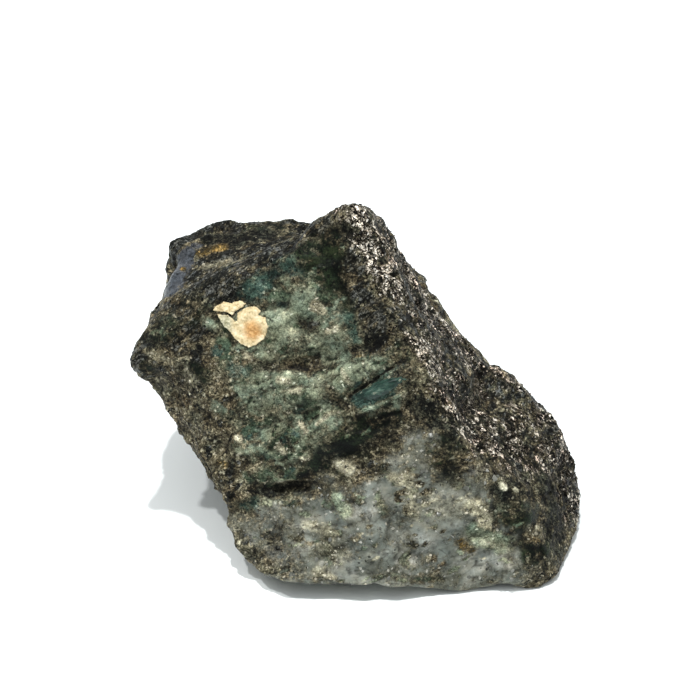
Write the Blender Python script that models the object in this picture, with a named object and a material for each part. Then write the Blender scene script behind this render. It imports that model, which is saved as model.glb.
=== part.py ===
"""Raw emerald in mica schist: one broken lump that rests on its rough foot.

Five masses grown together make the lump. LEFT_WEDGE and NOSE share the tilted fracture face that
looks along -Y, FOOT carries the quartz below the emerald seam, REAR_LOBE is the lower back and
RIGHT_SHOULDER the rounded right end. They are fused, worn round at their edges, given the rock's
ledges, seams and pits, and worn flat where the lump stands.

Metres, +Z up. The origin is on the resting plane, below the middle of the lump's box.
"""

import math
from dataclasses import dataclass

import bmesh
import bpy
from mathutils import Vector, noise

# Corners of each mass, in metres. Their convex hulls overlap and are fused into one solid.
LEFT_WEDGE = {
    "tip_top": (-0.0328, -0.0016, 0.0276),
    "tip_low": (-0.0326, -0.0034, 0.0246),
    "tip_under": (-0.0294, -0.0060, 0.0236),
    "flank_high": (-0.0256, -0.0090, 0.0200),
    "flank_low": (-0.0222, -0.0126, 0.0150),
    "lip_left": (-0.0212, -0.0139, 0.0130),
    "lip_middle": (-0.0110, -0.0168, 0.0131),
    "lip_right": (-0.0036, -0.0186, 0.0145),
    "lip_end": (0.0060, -0.0188, 0.0215),
    "face_right": (0.0026, -0.0093, 0.0362),
    "bevel_low": (-0.0272, -0.0022, 0.0292),
    "bevel_middle": (-0.0175, -0.0014, 0.0367),
    "bevel_high": (-0.0085, -0.0008, 0.0431),
    "ridge_low": (-0.0270, 0.0030, 0.0337),
    "ridge_high": (-0.0077, 0.0030, 0.0432),
    "back_high": (-0.0010, 0.0160, 0.0365),
    "back_left": (-0.0250, 0.0120, 0.0200),
    "under_left": (-0.0170, -0.0060, 0.0030),
    "under_back": (-0.0140, 0.0140, 0.0000),
    "under_front": (0.0100, -0.0150, 0.0020),
}
NOSE = {
    "tip_left": (-0.0017, 0.0000, 0.0503),
    "tip_top": (0.0010, 0.0020, 0.0503),
    "tip_right": (0.0032, 0.0034, 0.0475),
    "shoulder_left": (-0.0060, 0.0015, 0.0466),
    "bevel_high": (-0.0108, -0.0012, 0.0412),
    "lip_right": (-0.0036, -0.0186, 0.0145),
    "lip_end": (0.0060, -0.0188, 0.0215),
    "corner_front": (0.0129, -0.0172, 0.0247),
    "mica_edge": (0.0026, -0.0093, 0.0362),
    "mica_foot": (0.0067, -0.0153, 0.0285),
    "right_edge": (0.0112, 0.0030, 0.0318),
    "kink": (0.0192, 0.0008, 0.0221),
    "back_high": (-0.0010, 0.0160, 0.0365),
    "back_right": (0.0185, 0.0120, 0.0130),
    "under_back": (0.0200, 0.0120, 0.0000),
    "under_front": (0.0100, -0.0150, 0.0020),
}
FOOT = {
    "top_left": (-0.0209, -0.0143, 0.0124),
    "top_middle": (-0.0110, -0.0160, 0.0150),
    "top_right": (-0.0036, -0.0176, 0.0165),
    "top_end": (0.0060, -0.0182, 0.0224),
    "corner_front": (0.0129, -0.0172, 0.0245),
    "face_right_high": (0.0174, -0.0183, 0.0185),
    "face_right_low": (0.0232, -0.0186, 0.0132),
    "left_high": (-0.0186, -0.0164, 0.0094),
    "left_middle": (-0.0167, -0.0192, 0.0050),
    "left_low": (-0.0131, -0.0224, 0.0018),
    "toe_left": (-0.0112, -0.0236, 0.0010),
    "toe_middle": (-0.0010, -0.0241, 0.0009),
    "toe_right": (0.0133, -0.0238, 0.0004),
    "toe_end": (0.0250, -0.0232, 0.0007),
    "heel_right": (0.0284, -0.0220, 0.0008),
    "side_low": (0.0308, -0.0174, 0.0010),
    "back_left": (-0.0120, 0.0050, 0.0100),
    "back_right": (0.0250, 0.0050, 0.0100),
    "under_left": (-0.0120, 0.0050, 0.0000),
    "under_right": (0.0250, 0.0050, 0.0000),
}
REAR_LOBE = {
    "crest_left": (-0.0278, 0.0203, 0.0308),
    "crest_bend": (-0.0224, 0.0222, 0.0336),
    "crest_middle": (-0.0184, 0.0232, 0.0340),
    "crest_right": (0.0000, 0.0205, 0.0346),
    "saddle_left": (-0.0272, 0.0080, 0.0300),
    "saddle_right": (-0.0040, 0.0060, 0.0372),
    "left_low": (-0.0284, 0.0192, 0.0170),
    "left_low_front": (-0.0272, 0.0080, 0.0180),
    "right_shoulder": (0.0100, 0.0195, 0.0205),
    "back_high_left": (-0.0215, 0.0292, 0.0270),
    "back_high_right": (0.0060, 0.0300, 0.0255),
    "back_low_left": (-0.0200, 0.0295, 0.0080),
    "back_low_right": (0.0130, 0.0290, 0.0060),
    "right_high": (0.0190, 0.0170, 0.0110),
    "right_side": (0.0250, 0.0140, 0.0068),
    "right_foot": (0.0225, 0.0215, 0.0010),
    "inner_high": (0.0120, 0.0050, 0.0250),
    "inner_low": (0.0200, 0.0050, 0.0000),
    "inner_left": (-0.0145, 0.0080, 0.0002),
    "under_left": (-0.0165, 0.0210, 0.0008),
    "under_middle": (0.0000, 0.0255, 0.0010),
}
RIGHT_SHOULDER = {
    "kink": (0.0203, 0.0008, 0.0226),
    "crown": (0.0274, -0.0004, 0.0160),
    "brow": (0.0310, -0.0020, 0.0110),
    "side": (0.0334, -0.0060, 0.0046),
    "side_low": (0.0326, -0.0120, 0.0010),
    "side_foot": (0.0309, -0.0174, 0.0010),
    "heel_right": (0.0284, -0.0220, 0.0008),
    "front_high": (0.0174, -0.0183, 0.0185),
    "front_middle": (0.0232, -0.0186, 0.0132),
    "inner_high": (0.0100, -0.0100, 0.0200),
    "back_high": (0.0213, 0.0130, 0.0112),
    "back_low": (0.0270, 0.0170, 0.0012),
    "back_side": (0.0322, 0.0040, 0.0012),
    "inner_low": (0.0100, 0.0100, 0.0000),
}
MASSES = (LEFT_WEDGE, NOSE, FOOT, REAR_LOBE, RIGHT_SHOULDER)


@dataclass
class Relief:
    """A swelling (height above 0) or a hollow (below 0) with an oval outline on the surface."""

    name: str
    centre: tuple
    along: tuple
    reach: float
    width: float
    height: float

    def lift(self, point):
        """How far the surface moves out at this point."""
        off = point - Vector(self.centre)
        run = off.dot(Vector(self.along).normalized())
        side = math.sqrt(max(off.length_squared - run * run, 0.0))
        share = (run / self.reach) ** 2 + (side / self.width) ** 2
        return self.height * (1 - share) ** 2 if share < 1 else 0.0


@dataclass
class Ledge:
    """A step along a line: the surface rises on the side that `up` points to, then runs out."""

    name: str
    start: tuple
    end: tuple
    up: tuple
    rise: float
    fade: float

    def lift(self, point):
        """How far the surface moves out at this point."""
        start, line = Vector(self.start), Vector(self.end) - Vector(self.start)
        share = (point - start).dot(line) / line.length_squared
        if not -0.1 < share < 1.1:
            return 0.0
        off = point - start - line * share
        across = off.dot(Vector(self.up).normalized())
        if not 0 < across < self.fade or off.length > 1.5 * self.fade:
            return 0.0
        ends = min(1.0, (share + 0.1) / 0.15, (1.1 - share) / 0.15)
        return self.rise * ends * min(1.0, across / 0.0008) * (1 - across / self.fade)


SEAM = (0.80, 0.05, 0.59)  # the way the emerald lens and the valley below it run
BAND = (0.94, -0.12, 0.31)  # the way the bands of the emerald face run

RELIEFS = (
    Relief("lip_crevice", (-0.0095, -0.0172, 0.0141), (0.97, -0.17, 0.15), 0.0095, 0.0018, -0.0017),
    Relief("seam_valley", (0.0030, -0.0180, 0.0212), SEAM, 0.0110, 0.0034, -0.0014),
    Relief("lens", (0.0049, -0.0139, 0.0298), SEAM, 0.0045, 0.0018, 0.0011),
    Relief("lens_groove", (0.0054, -0.0124, 0.0318), SEAM, 0.0050, 0.0010, -0.0011),
    Relief("lens_hollow", (0.0070, -0.0152, 0.0272), SEAM, 0.0048, 0.0020, -0.0010),
    Relief("dark_band", (-0.0045, -0.0098, 0.0314), BAND, 0.0110, 0.0019, -0.0008),
    Relief("cap_swell", (-0.0078, -0.0034, 0.0417), SEAM, 0.0070, 0.0036, 0.0008),
    Relief("left_swell", (-0.0159, -0.0076, 0.0289), BAND, 0.0040, 0.0026, 0.0007),
    Relief("middle_swell", (-0.0064, -0.0120, 0.0264), BAND, 0.0070, 0.0023, 0.0008),
    Relief("lower_swell", (-0.0100, -0.0147, 0.0190), BAND, 0.0070, 0.0032, 0.0009),
    Relief("low_right_swell", (-0.0040, -0.0153, 0.0216), SEAM, 0.0038, 0.0026, 0.0007),
    Relief("left_seam", (-0.0185, -0.0130, 0.0168), (0.45, -0.35, -0.82), 0.0070, 0.0014, -0.0007),
    Relief("peak_pit", (-0.0009, -0.0020, 0.0473), (0.3, 0.1, -0.95), 0.0022, 0.0014, -0.0011),
    Relief("mica_pit_high", (0.0045, -0.0045, 0.0410), (0.5, 0.0, -0.85), 0.0036, 0.0015, -0.0007),
    Relief("mica_pit_middle", (0.0082, -0.0070, 0.0350), (0.55, 0.1, -0.83), 0.0034, 0.0018, -0.0006),
    Relief("corner_hollow", (0.0122, -0.0156, 0.0262), (0.8, 0.2, 0.5), 0.0034, 0.0022, -0.0013),
    Relief("corner_knob", (0.0150, -0.0140, 0.0238), (0.7, 0.1, -0.7), 0.0030, 0.0024, 0.0008),
    Relief("kink_notch", (0.0190, -0.0045, 0.0214), (0.05, -0.93, -0.3), 0.0070, 0.0017, -0.0011),
    Relief("bulge", (0.0258, -0.0070, 0.0150), (0.5, -0.5, -0.7), 0.0090, 0.0070, 0.0006),
    Relief("bulge_groove", (0.0262, -0.0125, 0.0140), (0.2, -0.7, -0.7), 0.0060, 0.0014, -0.0006),
    Relief("right_scoop", (0.0106, 0.0015, 0.0335), (0.55, 0.0, -0.83), 0.0120, 0.0068, -0.0021),
    Relief("flank_scoop", (-0.0262, -0.0088, 0.0205), (0.52, -0.3, -0.8), 0.0115, 0.0070, -0.0023),
    Relief("quartz_knob", (-0.0009, -0.0182, 0.0184), BAND, 0.0040, 0.0022, 0.0007),
    Relief("quartz_swell", (0.0030, -0.0210, 0.0118), (0.3, -0.3, -0.9), 0.0070, 0.0042, 0.0007),
    Relief("quartz_dip", (-0.0030, -0.0206, 0.0112), (0.5, -0.3, -0.8), 0.0050, 0.0022, -0.0007),
    Relief("quartz_block", (0.0110, -0.0212, 0.0108), BAND, 0.0055, 0.0034, 0.0007),
    Relief("quartz_step", (0.0090, -0.0222, 0.0066), BAND, 0.0080, 0.0016, -0.0006),
    Relief("right_dip", (0.0205, -0.0204, 0.0100), (0.2, -0.3, -0.9), 0.0060, 0.0030, -0.0008),
    Relief("right_block", (0.0235, -0.0216, 0.0045), (0.9, 0.1, 0.2), 0.0042, 0.0028, 0.0006),
    Relief("foot_shoulder", (-0.0132, -0.0198, 0.0070), (0.5, -0.4, -0.7), 0.0050, 0.0028, 0.0005),
    Relief("toe_undercut", (-0.0010, -0.0240, 0.0004), (1.0, 0.0, 0.0), 0.0135, 0.0022, -0.0012),
    Relief("behind_edge", (0.0090, 0.0075, 0.0300), (0.6, 0.0, -0.8), 0.0120, 0.0060, -0.0015),
    Relief("tip_notch", (-0.0292, -0.0062, 0.0228), (0.2, -0.9, -0.2), 0.0060, 0.0044, -0.0028),
    Relief("slick_hollow", (-0.0265, 0.0100, 0.0312), (0.3, 0.9, 0.2), 0.0075, 0.0036, -0.0010),
    Relief("rear_rib", (-0.0070, 0.0290, 0.0170), (0.4, 0.0, -0.9), 0.0120, 0.0055, 0.0014),
    Relief("rear_scoop", (0.0090, 0.0260, 0.0200), (0.5, 0.2, -0.8), 0.0100, 0.0060, -0.0016),
    Relief("rear_left_scoop", (-0.0215, 0.0270, 0.0200), (0.3, 0.3, -0.9), 0.0080, 0.0040, -0.0013),
    Relief("right_side_scoop", (0.0310, 0.0060, 0.0070), (0.1, 0.9, -0.3), 0.0080, 0.0044, -0.0012),
    Relief("under_left_rib", (-0.0225, 0.0080, 0.0110), (0.4, 0.3, -0.85), 0.0100, 0.0040, 0.0012),
)
LEDGES = (
    Ledge(
        "ridge_band", (-0.0275, -0.0030, 0.0290), (-0.0060, -0.0011, 0.0472),
        (-0.5, 0.5, 0.7), 0.0009, 0.0045,
    ),
    Ledge(
        "ridge_streak", (-0.0250, 0.0005, 0.0330), (-0.0090, 0.0010, 0.0452),
        (-0.5, 0.5, 0.7), 0.0006, 0.0030,
    ),
    Ledge(
        "mica_border", (0.0010, -0.0040, 0.0445), (0.0085, -0.0150, 0.0280),
        (0.8, 0.3, 0.2), 0.0006, 0.0040,
    ),
    Ledge(
        "flank_band", (-0.0270, -0.0085, 0.0225), (-0.0180, -0.0150, 0.0120),
        (-0.8, 0.2, -0.4), 0.0006, 0.0030,
    ),
    Ledge("lobe_cap", (-0.0275, 0.0165, 0.0300), (-0.0080, 0.0185, 0.0345), (0.0, 1.0, 0.2), 0.0014, 0.0070),
    Ledge(
        "rear_shelf", (-0.0200, 0.0285, 0.0180), (0.0160, 0.0285, 0.0240),
        (0.2, 0.0, -1.0), 0.0012, 0.0080,
    ),
    Ledge(
        "left_shelf", (-0.0285, 0.0020, 0.0180), (-0.0290, 0.0200, 0.0210),
        (0.2, 0.0, -1.0), 0.0010, 0.0060,
    ),
)

FRONT = Vector((-0.32, -0.82, 0.47))  # the way the emerald face looks
FOLIATION = Vector((-0.42, 0.0, 0.91)).normalized()  # across the mica layers
LAYER = 0.0031  # spacing of the mica layers' broken edges
LAYER_STEP = 0.0003  # height of those edges on the front
LAYER_STEP_BACK = 0.0006  # what the back adds to that
LAYER_WANDER = 0.009  # size of the waves in the layers
CHIP_SIZES = (0.0070, 0.0034)  # large and small chips of the broken surface
CHIP_TILT = 0.17  # how far a chip leans, rise over run
SWELL_SIZE = 0.0070  # size and height of the soft unevenness
SWELL_HEIGHT = 0.00022
UNDERSIDE_SIZE = 0.0080  # size and height of the hollows of the underside
UNDERSIDE_HEIGHT = 0.0011
FUSE_VOXEL = 0.0009  # fusing grid of the masses
SURFACE_VOXEL = 0.0007  # grid of the surface once the relief is on it
WEAR_STEPS = 3  # smoothing passes that wear the broken edges round
SEAT = 0.0006  # depth worn off the foot to leave the flats it rests on
SLAB = 0.2  # side of the block that wears them flat
SEED = 7  # of the vector noise that leans the chips
FACE_BUDGET = 8900  # triangles of the finished solid
ROCK_COLOUR = (0.16, 0.18, 0.15, 1.0)
ROCK_ROUGHNESS = 0.6


def chips(point, size):
    """Flat-faced chips: each cell of broken rock leans its own way, so that its edges are small steps."""
    cell = noise.voronoi(point / size)[1][0]
    lean = noise.noise_vector(cell * 7.31)
    return size * CHIP_TILT * (point / size - cell).dot(lean)


def layers(point):
    """Saw-toothed edges of the mica layers, where the rock broke across them."""
    wander = 0.35 * noise.noise(point / LAYER_WANDER)
    return (point.dot(FOLIATION) / LAYER + wander) % 1.0 - 0.5


def hackle(point, normal):
    """The broken rock's own roughness, smoother on the emerald face than on the back."""
    front = max(0.0, normal.dot(FRONT))
    back = max(0.0, normal.y, -0.7 * normal.x)
    lift = (1.1 - 0.4 * front + 0.9 * back) * sum(chips(point, size) for size in CHIP_SIZES)
    lift += SWELL_HEIGHT * noise.fractal(point / SWELL_SIZE, 0.8, 2.0, 3)
    lift += (LAYER_STEP + LAYER_STEP_BACK * back) * layers(point)
    if normal.z < -0.6:
        lift += UNDERSIDE_HEIGHT * noise.noise(point / UNDERSIDE_SIZE)
    return lift


def hull_into(bm, corners):
    """Adds the convex hull of named corner points to a bmesh."""
    verts = [bm.verts.new(point) for point in corners.values()]
    made = bmesh.ops.convex_hull(bm, input=verts)
    spare = made["geom_interior"] + made["geom_unused"]
    bmesh.ops.delete(bm, geom=list(dict.fromkeys(spare)), context="VERTS")


def masses():
    """The overlapping hulls of all masses, in one mesh."""
    bm = bmesh.new()
    for corners in MASSES:
        hull_into(bm, corners)
    mesh = bpy.data.meshes.new("masses")
    bm.to_mesh(mesh)
    bm.free()
    return mesh


def linked(name, mesh):
    """A new object of this mesh, in the scene."""
    obj = bpy.data.objects.new(name, mesh)
    bpy.context.scene.collection.objects.link(obj)
    return obj


def with_modifier(mesh, kind, **settings):
    """The mesh that one modifier makes of this one."""
    obj = linked("step", mesh)
    modifier = obj.modifiers.new("step", kind)
    for name, value in settings.items():
        setattr(modifier, name, value)
    graph = bpy.context.evaluated_depsgraph_get()
    graph.update()
    made = bpy.data.meshes.new_from_object(obj.evaluated_get(graph))
    bpy.data.objects.remove(obj)
    return made


def carve(mesh):
    """Wears the fused masses and moves their surface by the relief."""
    bm = bmesh.new()
    bm.from_mesh(mesh)
    for _ in range(WEAR_STEPS):
        bmesh.ops.smooth_vert(
            bm, verts=bm.verts, factor=0.5, use_axis_x=True, use_axis_y=True, use_axis_z=True
        )
    bm.normal_update()
    moves = []
    for vert in bm.verts:
        relief = sum(form.lift(vert.co) for form in RELIEFS + LEDGES)
        moves.append(vert.normal * (relief + hackle(vert.co, vert.normal)))
    for vert, move in zip(bm.verts, moves):
        vert.co += move
    bm.to_mesh(mesh)
    bm.free()


def seated(mesh):
    """Wears the foot flat on the plane that the lump rests on."""
    bm = bmesh.new()
    bmesh.ops.create_cube(bm, size=SLAB)
    bmesh.ops.translate(bm, verts=bm.verts, vec=(0.0, 0.0, SEAT - SLAB / 2))
    slab_mesh = bpy.data.meshes.new("seat_slab")
    bm.to_mesh(slab_mesh)
    bm.free()
    slab = linked("seat_slab", slab_mesh)
    cut = with_modifier(mesh, "BOOLEAN", object=slab, operation="DIFFERENCE", solver="EXACT")
    bpy.data.objects.remove(slab)
    return cut


def centre(mesh):
    """Moves the mesh so that the origin is below the middle of its box, on the resting plane."""
    spans = [[vert.co[axis] for vert in mesh.vertices] for axis in range(3)]
    lows = Vector(min(span) for span in spans)
    highs = Vector(max(span) for span in spans)
    middle = Vector(((lows.x + highs.x) / 2, (lows.y + highs.y) / 2, lows.z))
    for vert in mesh.vertices:
        vert.co -= middle
    print("Origin moved by, mm:", *[round(1000 * value, 3) for value in middle])


def rock():
    """The grey-green schist of the whole lump."""
    material = bpy.data.materials.new("rock")
    material.use_nodes = True
    shader = material.node_tree.nodes["Principled BSDF"]
    shader.inputs["Base Color"].default_value = ROCK_COLOUR
    shader.inputs["Roughness"].default_value = ROCK_ROUGHNESS
    return material


def main():
    """Builds the lump as one node."""
    for obj in list(bpy.data.objects):
        bpy.data.objects.remove(obj)
    noise.seed_set(SEED)
    mesh = with_modifier(masses(), "REMESH", mode="VOXEL", voxel_size=FUSE_VOXEL)
    carve(mesh)
    mesh = with_modifier(mesh, "REMESH", mode="VOXEL", voxel_size=SURFACE_VOXEL)
    triangles = sum(len(face.vertices) - 2 for face in mesh.polygons)
    mesh = with_modifier(mesh, "DECIMATE", ratio=FACE_BUDGET / triangles)
    mesh = seated(mesh)
    centre(mesh)
    mesh.materials.clear()
    mesh.materials.append(rock())
    mesh.name = "raw_emerald"
    linked("raw_emerald", mesh)


main()
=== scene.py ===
"""Looks of a raw emerald: a broken lump of mica schist with an emerald seam, grey quartz at its foot,
a dark biotite ridge, a glittering mica face on the right and a patch of cream crust.

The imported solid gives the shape. The skin is a finer copy of it, broken the way each mineral breaks.
Mica flakes, grains, the emerald lens and the crust are pieces of their own, grown into the skin.
Sizes are in millimetres unless a name says otherwise.
"""

import logging
import math
import random
from dataclasses import dataclass
from enum import Enum

import bmesh
import bpy
import numpy as np
from mathutils import Matrix, Vector, noise
from mathutils.bvhtree import BVHTree
from mathutils.geometry import intersect_point_line


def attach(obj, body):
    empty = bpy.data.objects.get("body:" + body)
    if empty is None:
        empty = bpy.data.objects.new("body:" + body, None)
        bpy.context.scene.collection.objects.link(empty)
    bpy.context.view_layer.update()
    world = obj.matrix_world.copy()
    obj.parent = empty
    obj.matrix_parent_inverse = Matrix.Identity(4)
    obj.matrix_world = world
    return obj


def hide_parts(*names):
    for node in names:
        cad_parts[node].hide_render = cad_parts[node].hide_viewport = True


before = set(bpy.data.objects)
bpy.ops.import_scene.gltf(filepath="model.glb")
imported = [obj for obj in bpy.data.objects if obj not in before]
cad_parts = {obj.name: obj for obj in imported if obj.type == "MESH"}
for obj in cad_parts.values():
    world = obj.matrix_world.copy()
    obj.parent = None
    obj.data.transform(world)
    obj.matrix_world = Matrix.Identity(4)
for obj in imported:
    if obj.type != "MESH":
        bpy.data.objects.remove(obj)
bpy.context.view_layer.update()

logging.basicConfig(level=logging.INFO, format="%(message)s")
LOG = logging.getLogger("raw_emerald")

NODE = "raw_emerald"
BODY = "root"
MM = 0.001
SEED = 11
MERGE_GAP = 1e-7  # metres
TINY = 1e-9
MIDDLE = (0.5, 0.5, 0.5)  # what noise in three numbers swings about

GROUND_RAGGED = 0.6  # the borders of the large parts, sharper than those of most spots
LEAN_SCATTER = 7.31  # so that neighbouring chips lean apart
DOME_SLOPE = 2.2  # how steeply a round grain rises from its border
LEAST_AREA = 1e-12
FRAGMENT_WIDTHS = (0.6, 0.9)  # width over length
PLATE_REACHES = (0.6, 1.0)  # how far a plate's corners stand from its middle
PLATE_WIDTH = 0.75
PLATE_TAPER = 0.86  # the upper side over the lower

Triple = tuple[float, float, float]
Spot = tuple[float, ...]

BAND = (0.94, -0.12, 0.31)  # the way the seams of the emerald face run
RIDGE = (0.76, 0.07, 0.65)  # the way the dark bands of the ridge run
FALL = (0.62, -0.10, -0.78)  # the way the mica layers of the right face fall


class Mineral(Enum):
    """What the stone is made of, place by place, and the painted shade of its crevices."""

    SCHIST = "schist"
    MICA = "mica"
    GLITTER = "glitter"
    BIOTITE = "biotite"
    EMERALD = "emerald"
    TEAL = "teal"
    DEEP = "deep"
    PALE = "pale"
    QUARTZ = "quartz"
    FELDSPAR = "feldspar"
    RUST = "rust"
    SLICK = "slick"
    # near-black of cracks and dark grains, and painted shade in crevices, pits, hollows and on shaded sides
    BLACK_AND_SHADE = "crevice"


@dataclass(frozen=True)
class Portrait:
    """The camera's view of the stone. Seen spots are counted in it, right and down, in 1/700 of its side."""

    aim: Triple = (-0.001198, -0.006008, 0.0269)
    distance: float = 0.320
    elevation: float = 35.0
    lens: float = 115.489
    sensor: float = 36.0
    side: float = 700.0

    def forward(self) -> Vector:
        """The way the camera looks."""
        slope = math.radians(self.elevation)
        return Vector((0.0, math.cos(slope), -math.sin(slope)))

    def place(self) -> Vector:
        """Where the camera stands, in metres."""
        return Vector(self.aim) - self.forward() * self.distance

    def ray(self, across: float, down: float) -> Vector:
        """The direction of the line of sight through a seen spot.

        Args:
            across: Steps to the right of the view's left side.
            down: Steps below its top.

        Returns:
            The direction, not of unit length.
        """
        slope = math.radians(self.elevation)
        up = Vector((0.0, math.sin(slope), math.cos(slope)))
        reach = self.side * self.lens / self.sensor
        right = Vector((1.0, 0.0, 0.0))
        half = self.side / 2
        return self.forward() + right * ((across - half) / reach) + up * ((half - down) / reach)


PORTRAIT = Portrait()


@dataclass(frozen=True)
class Patch:
    """A streak or spot of one mineral, between two places on the surface.

    A place with two numbers is a seen spot of the portrait, one with three is in millimetres.
    """

    name: str
    mineral: Mineral
    start: Spot
    end: Spot
    half_width: float
    strength: float = 1.0
    ragged: float = 0.9
    lift: float = 0.0


@dataclass(frozen=True)
class Swell:
    """A low swell of the surface between two places, or a hollow if its lift is below 0."""

    name: str
    start: Spot
    end: Spot
    half_width: float
    lift: float
    ragged: float = 0.9


@dataclass(frozen=True)
class Break:
    """How a mineral breaks: leaning chips, round grains and a soft swell."""

    chips: tuple[float, ...] = ()
    lean: float = 0.0
    swell: float = 2.5
    swell_height: float = 0.1
    domes: float = 0.0
    dome_height: float = 0.0
    along: Triple = BAND
    stretch: float = 1.0


BREAKS = {
    Mineral.SCHIST: Break((1.7, 0.95), 0.30, 2.2, 0.16, along=BAND, stretch=1.3),
    Mineral.MICA: Break((1.9, 1.0), 0.34, 2.6, 0.22, along=FALL, stretch=1.9),
    Mineral.GLITTER: Break((1.9, 1.0), 0.34, 2.6, 0.22, along=FALL, stretch=1.9),
    Mineral.BIOTITE: Break((1.5, 0.9), 0.34, 2.4, 0.2, along=RIDGE, stretch=2.8),
    Mineral.EMERALD: Break((3.2, 1.5), 0.22, 3.0, 0.18, along=BAND, stretch=1.6),
    Mineral.TEAL: Break((2.8, 1.5), 0.2, 3.0, 0.16, along=BAND, stretch=1.6),
    Mineral.DEEP: Break((3.0,), 0.12, 3.0, 0.14),
    Mineral.PALE: Break((2.4, 1.2), 0.26, 2.2, 0.16, along=BAND, stretch=1.8),
    Mineral.QUARTZ: Break((2.6,), 0.15, 2.4, 0.16, 1.9, 0.16),
    Mineral.FELDSPAR: Break((1.5,), 0.22, 1.5, 0.1, 1.3, 0.16),
    Mineral.RUST: Break((1.6, 0.9), 0.22, 2.0, 0.12, along=RIDGE, stretch=2.2),
    Mineral.SLICK: Break((4.0,), 0.06, 5.0, 0.12),
    Mineral.BLACK_AND_SHADE: Break((1.4, 0.9), 0.35, 2.0, 0.15),
}

S, M, G, B, E, T, D, P, Q, F, R, L, C = (
    Mineral.SCHIST, Mineral.MICA, Mineral.GLITTER, Mineral.BIOTITE, Mineral.EMERALD, Mineral.TEAL,
    Mineral.DEEP, Mineral.PALE, Mineral.QUARTZ, Mineral.FELDSPAR, Mineral.RUST, Mineral.SLICK,
    Mineral.BLACK_AND_SHADE,
)

# The large parts of the stone: name, mineral, start, end, half width, strength
GROUND = tuple(Patch(*row, ragged=GROUND_RAGGED) for row in (
    ("right_mica", M, (352, 225), (446, 385), 5.4),
    ("right_mica_low", M, (455, 390), (545, 475), 7.5),
    ("right_mica_edge", M, (392, 246), (492, 376), 4.6),
    ("right_mica_end", M, (540, 420), (570, 490), 4.6),
    ("right_mica_side", M, (32.0, -2.0, 8.0), (24.0, 6.0, 12.0), 6.5),
    ("right_mica_rear", M, (12.0, 6.0, 28.0), (2.0, 6.0, 40.0), 6.0),
    ("lobe", B, (-24.0, 13.0, 31.0), (2.0, 17.0, 33.0), 10.5),
    ("rear_dark", B, (-18.0, 26.0, 18.0), (8.0, 27.0, 20.0), 6.0),
    ("rear_mica", M, (-8.0, 27.0, 10.0), (12.0, 26.0, 7.0), 4.0),
    ("rear_seam", P, (-19.0, 27.0, 8.0), (-4.0, 27.5, 12.5), 1.6),
    ("rear_quartz", Q, (2.0, 27.0, 15.0), (13.0, 22.0, 18.0), 2.6),
    ("rear_emerald", E, (-2.0, 24.0, 25.0), (9.0, 21.0, 24.0), 1.9),
    ("left_seam_emerald", E, (-27.0, 2.0, 17.0), (-25.0, 13.0, 19.0), 1.8),
    ("left_seam_pale", P, (-27.0, 4.0, 15.0), (-25.0, 12.0, 16.0), 0.9),
    ("left_under", B, (-22.0, -4.0, 8.0), (-21.0, 12.0, 6.0), 4.0),
    ("side_quartz", Q, (30.5, 3.0, 4.0), (27.0, 11.0, 4.5), 2.4),
    ("face", E, (246, 300), (338, 300), 6.2),
    ("face_low", E, (262, 385), (392, 370), 4.2),
    ("face_foot", E, (262, 440), (318, 432), 4.6),
    ("foot", Q, (290, 545), (480, 540), 8.4),
    ("foot_high", Q, (388, 492), (450, 498), 3.2),
    ("foot_left", S, (226, 505), (250, 556), 3.4, 0.8),
    ("ridge_rear", B, (200, 296), (318, 236), 3.0),
    ("left_grain", S, (158, 352), (222, 470), 4.6),
    ("left_grain_low", S, (222, 470), (236, 500), 3.0),
    ("ridge", B, (142, 344), (312, 250), 3.7),
    ("ridge_high", B, (312, 248), (345, 226), 2.6),
))

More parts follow.
